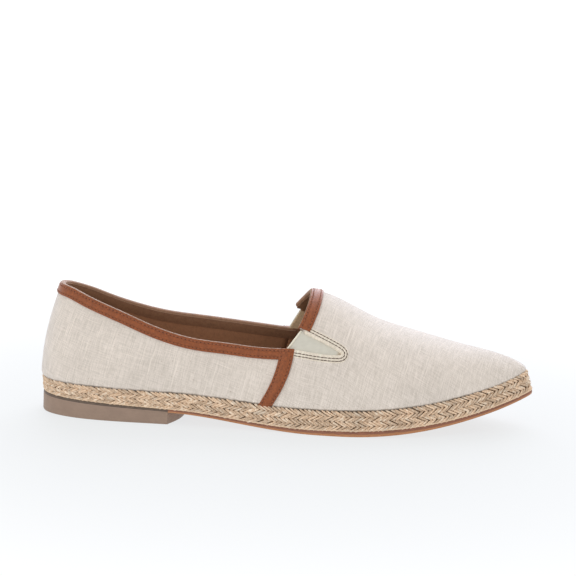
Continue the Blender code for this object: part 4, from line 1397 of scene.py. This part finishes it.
# the glow near the shoe is dimmer, a painted soft shadow that fades out over the reach in metres
FLOOR_NEAR_SHADOW_GLOW, FLOOR_FAR_GLOW, FLOOR_SHADOW_REACH = (0.735, 0.75, 0.76), (1.0, 1.0, 1.0), (0.12, 0.6)
WORLD_TINT, WORLD_STRENGTH = (1.0, 1.0, 1.0, 1.0), 0.93
LIGHTS = (  # name, location, width, power, tint
    ("back", (0.10, 1.30, 1.0), 1.7, 25.0, (0.95, 0.98, 1.12)),
    ("front", (-1.2, -1.5, 0.35), 1.6, 6.0, (1.0, 1.0, 1.0)),
)
LIGHT_TARGET = (0, 0, 0.03)
CAMERA_ANGLES = (11.5, 1.0, 2.2, 1.558)  # elevation, yaw, roll and pitch, in degrees
CAMERA_DISTANCE, CAMERA_LENS = 1.3, 149.8
CAMERA_TARGET = (133.0, 0.0, 35.0)


def make_stage():
    """A wide floor that glows a little, dimmer near the shoe as a painted soft shadow, and whiter further
    from it.
    """
    mesh = bpy.data.meshes.new("floor")
    corners = [(x * FLOOR_SIZE, y * FLOOR_SIZE, 0) for x, y in ((-1, -1), (1, -1), (1, 1), (-1, 1))]
    mesh.from_pydata(corners, [], [(0, 1, 2, 3)])
    floor = bpy.data.objects.new("floor", mesh)
    bpy.context.scene.collection.objects.link(floor)
    shade = Shade("floor", 0.9)
    x, y, _ = shade.parts(shade.node("NewGeometry", {}))
    away = shade.math("SQRT", shade.math("MULTIPLY_ADD", x, x, shade.math("MULTIPLY", y, y)))
    # painted shadow: the glow grows from the near tint to the far one with distance from the shoe
    share = shade.span(away, *FLOOR_SHADOW_REACH)
    shade.colour(FLOOR_TINT)
    shade.feed(shade.shader.inputs["Emission Color"], shade.mix(share, FLOOR_NEAR_SHADOW_GLOW, FLOOR_FAR_GLOW))
    shade.shader.inputs["Emission Strength"].default_value = 1.0
    mesh.materials.append(shade.material)


def add_light(name, location, size, power, tint):
    data = bpy.data.lights.new(name, "AREA")
    data.shape = "DISK"
    data.size = size
    data.energy = power
    data.color = tint
    light = bpy.data.objects.new(name, data)
    light.location = location
    aim = Vector(LIGHT_TARGET) - Vector(location)
    light.rotation_euler = aim.to_track_quat("-Z", "Y").to_euler()
    bpy.context.scene.collection.objects.link(light)


def make_light():
    world = bpy.data.worlds.new("studio")
    bpy.context.scene.world = world
    world.use_nodes = True
    background = world.node_tree.nodes["Background"]
    background.inputs["Color"].default_value = WORLD_TINT
    background.inputs["Strength"].default_value = WORLD_STRENGTH
    for light in LIGHTS:
        add_light(*light)
    bpy.context.scene.view_settings.view_transform = "Standard"


def make_camera():
    """Looks at the shoe's lateral side, rolled a little, and aimed just above the shoe."""
    lift, yaw, roll, pitch = map(math.radians, CAMERA_ANGLES)
    back = Vector((math.sin(yaw) * math.cos(lift), -math.cos(yaw) * math.cos(lift), math.sin(lift)))
    right = Vector((math.cos(yaw), math.sin(yaw), 0))
    up = back.cross(right)
    across = right * math.cos(roll) + up * math.sin(roll)
    upright = up * math.cos(roll) - right * math.sin(roll)
    target = Vector(to_frame(CAMERA_TARGET)[0])
    data = bpy.data.cameras.new("camera")
    data.lens = CAMERA_LENS
    data.sensor_width = 36
    camera = bpy.data.objects.new("camera", data)
    away = back * math.cos(pitch) - upright * math.sin(pitch)
    rise = upright * math.cos(pitch) + back * math.sin(pitch)
    turn = Matrix((across, rise, away)).transposed()
    camera.matrix_world = Matrix.Translation(target + back * CAMERA_DISTANCE) @ turn.to_4x4()
    bpy.context.scene.collection.objects.link(camera)
    bpy.context.scene.camera = camera


make_camera()
make_light()
make_stage()
make_upper()
make_quarter_binding()
make_throat_binding()
for shoe_side in (LATERAL, MEDIAL):
    make_side_strip(shoe_side)
    make_gore(shoe_side)
    make_lip(shoe_side)
    make_inner_band(shoe_side)
make_plait()
make_rand_bands()
make_fibres()
make_outsole()
make_insole()
make_heel()
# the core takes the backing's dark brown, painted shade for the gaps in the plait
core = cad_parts["midsole"]
core.data.materials.clear()
core.data.materials.append(jute_gap_shade_material)
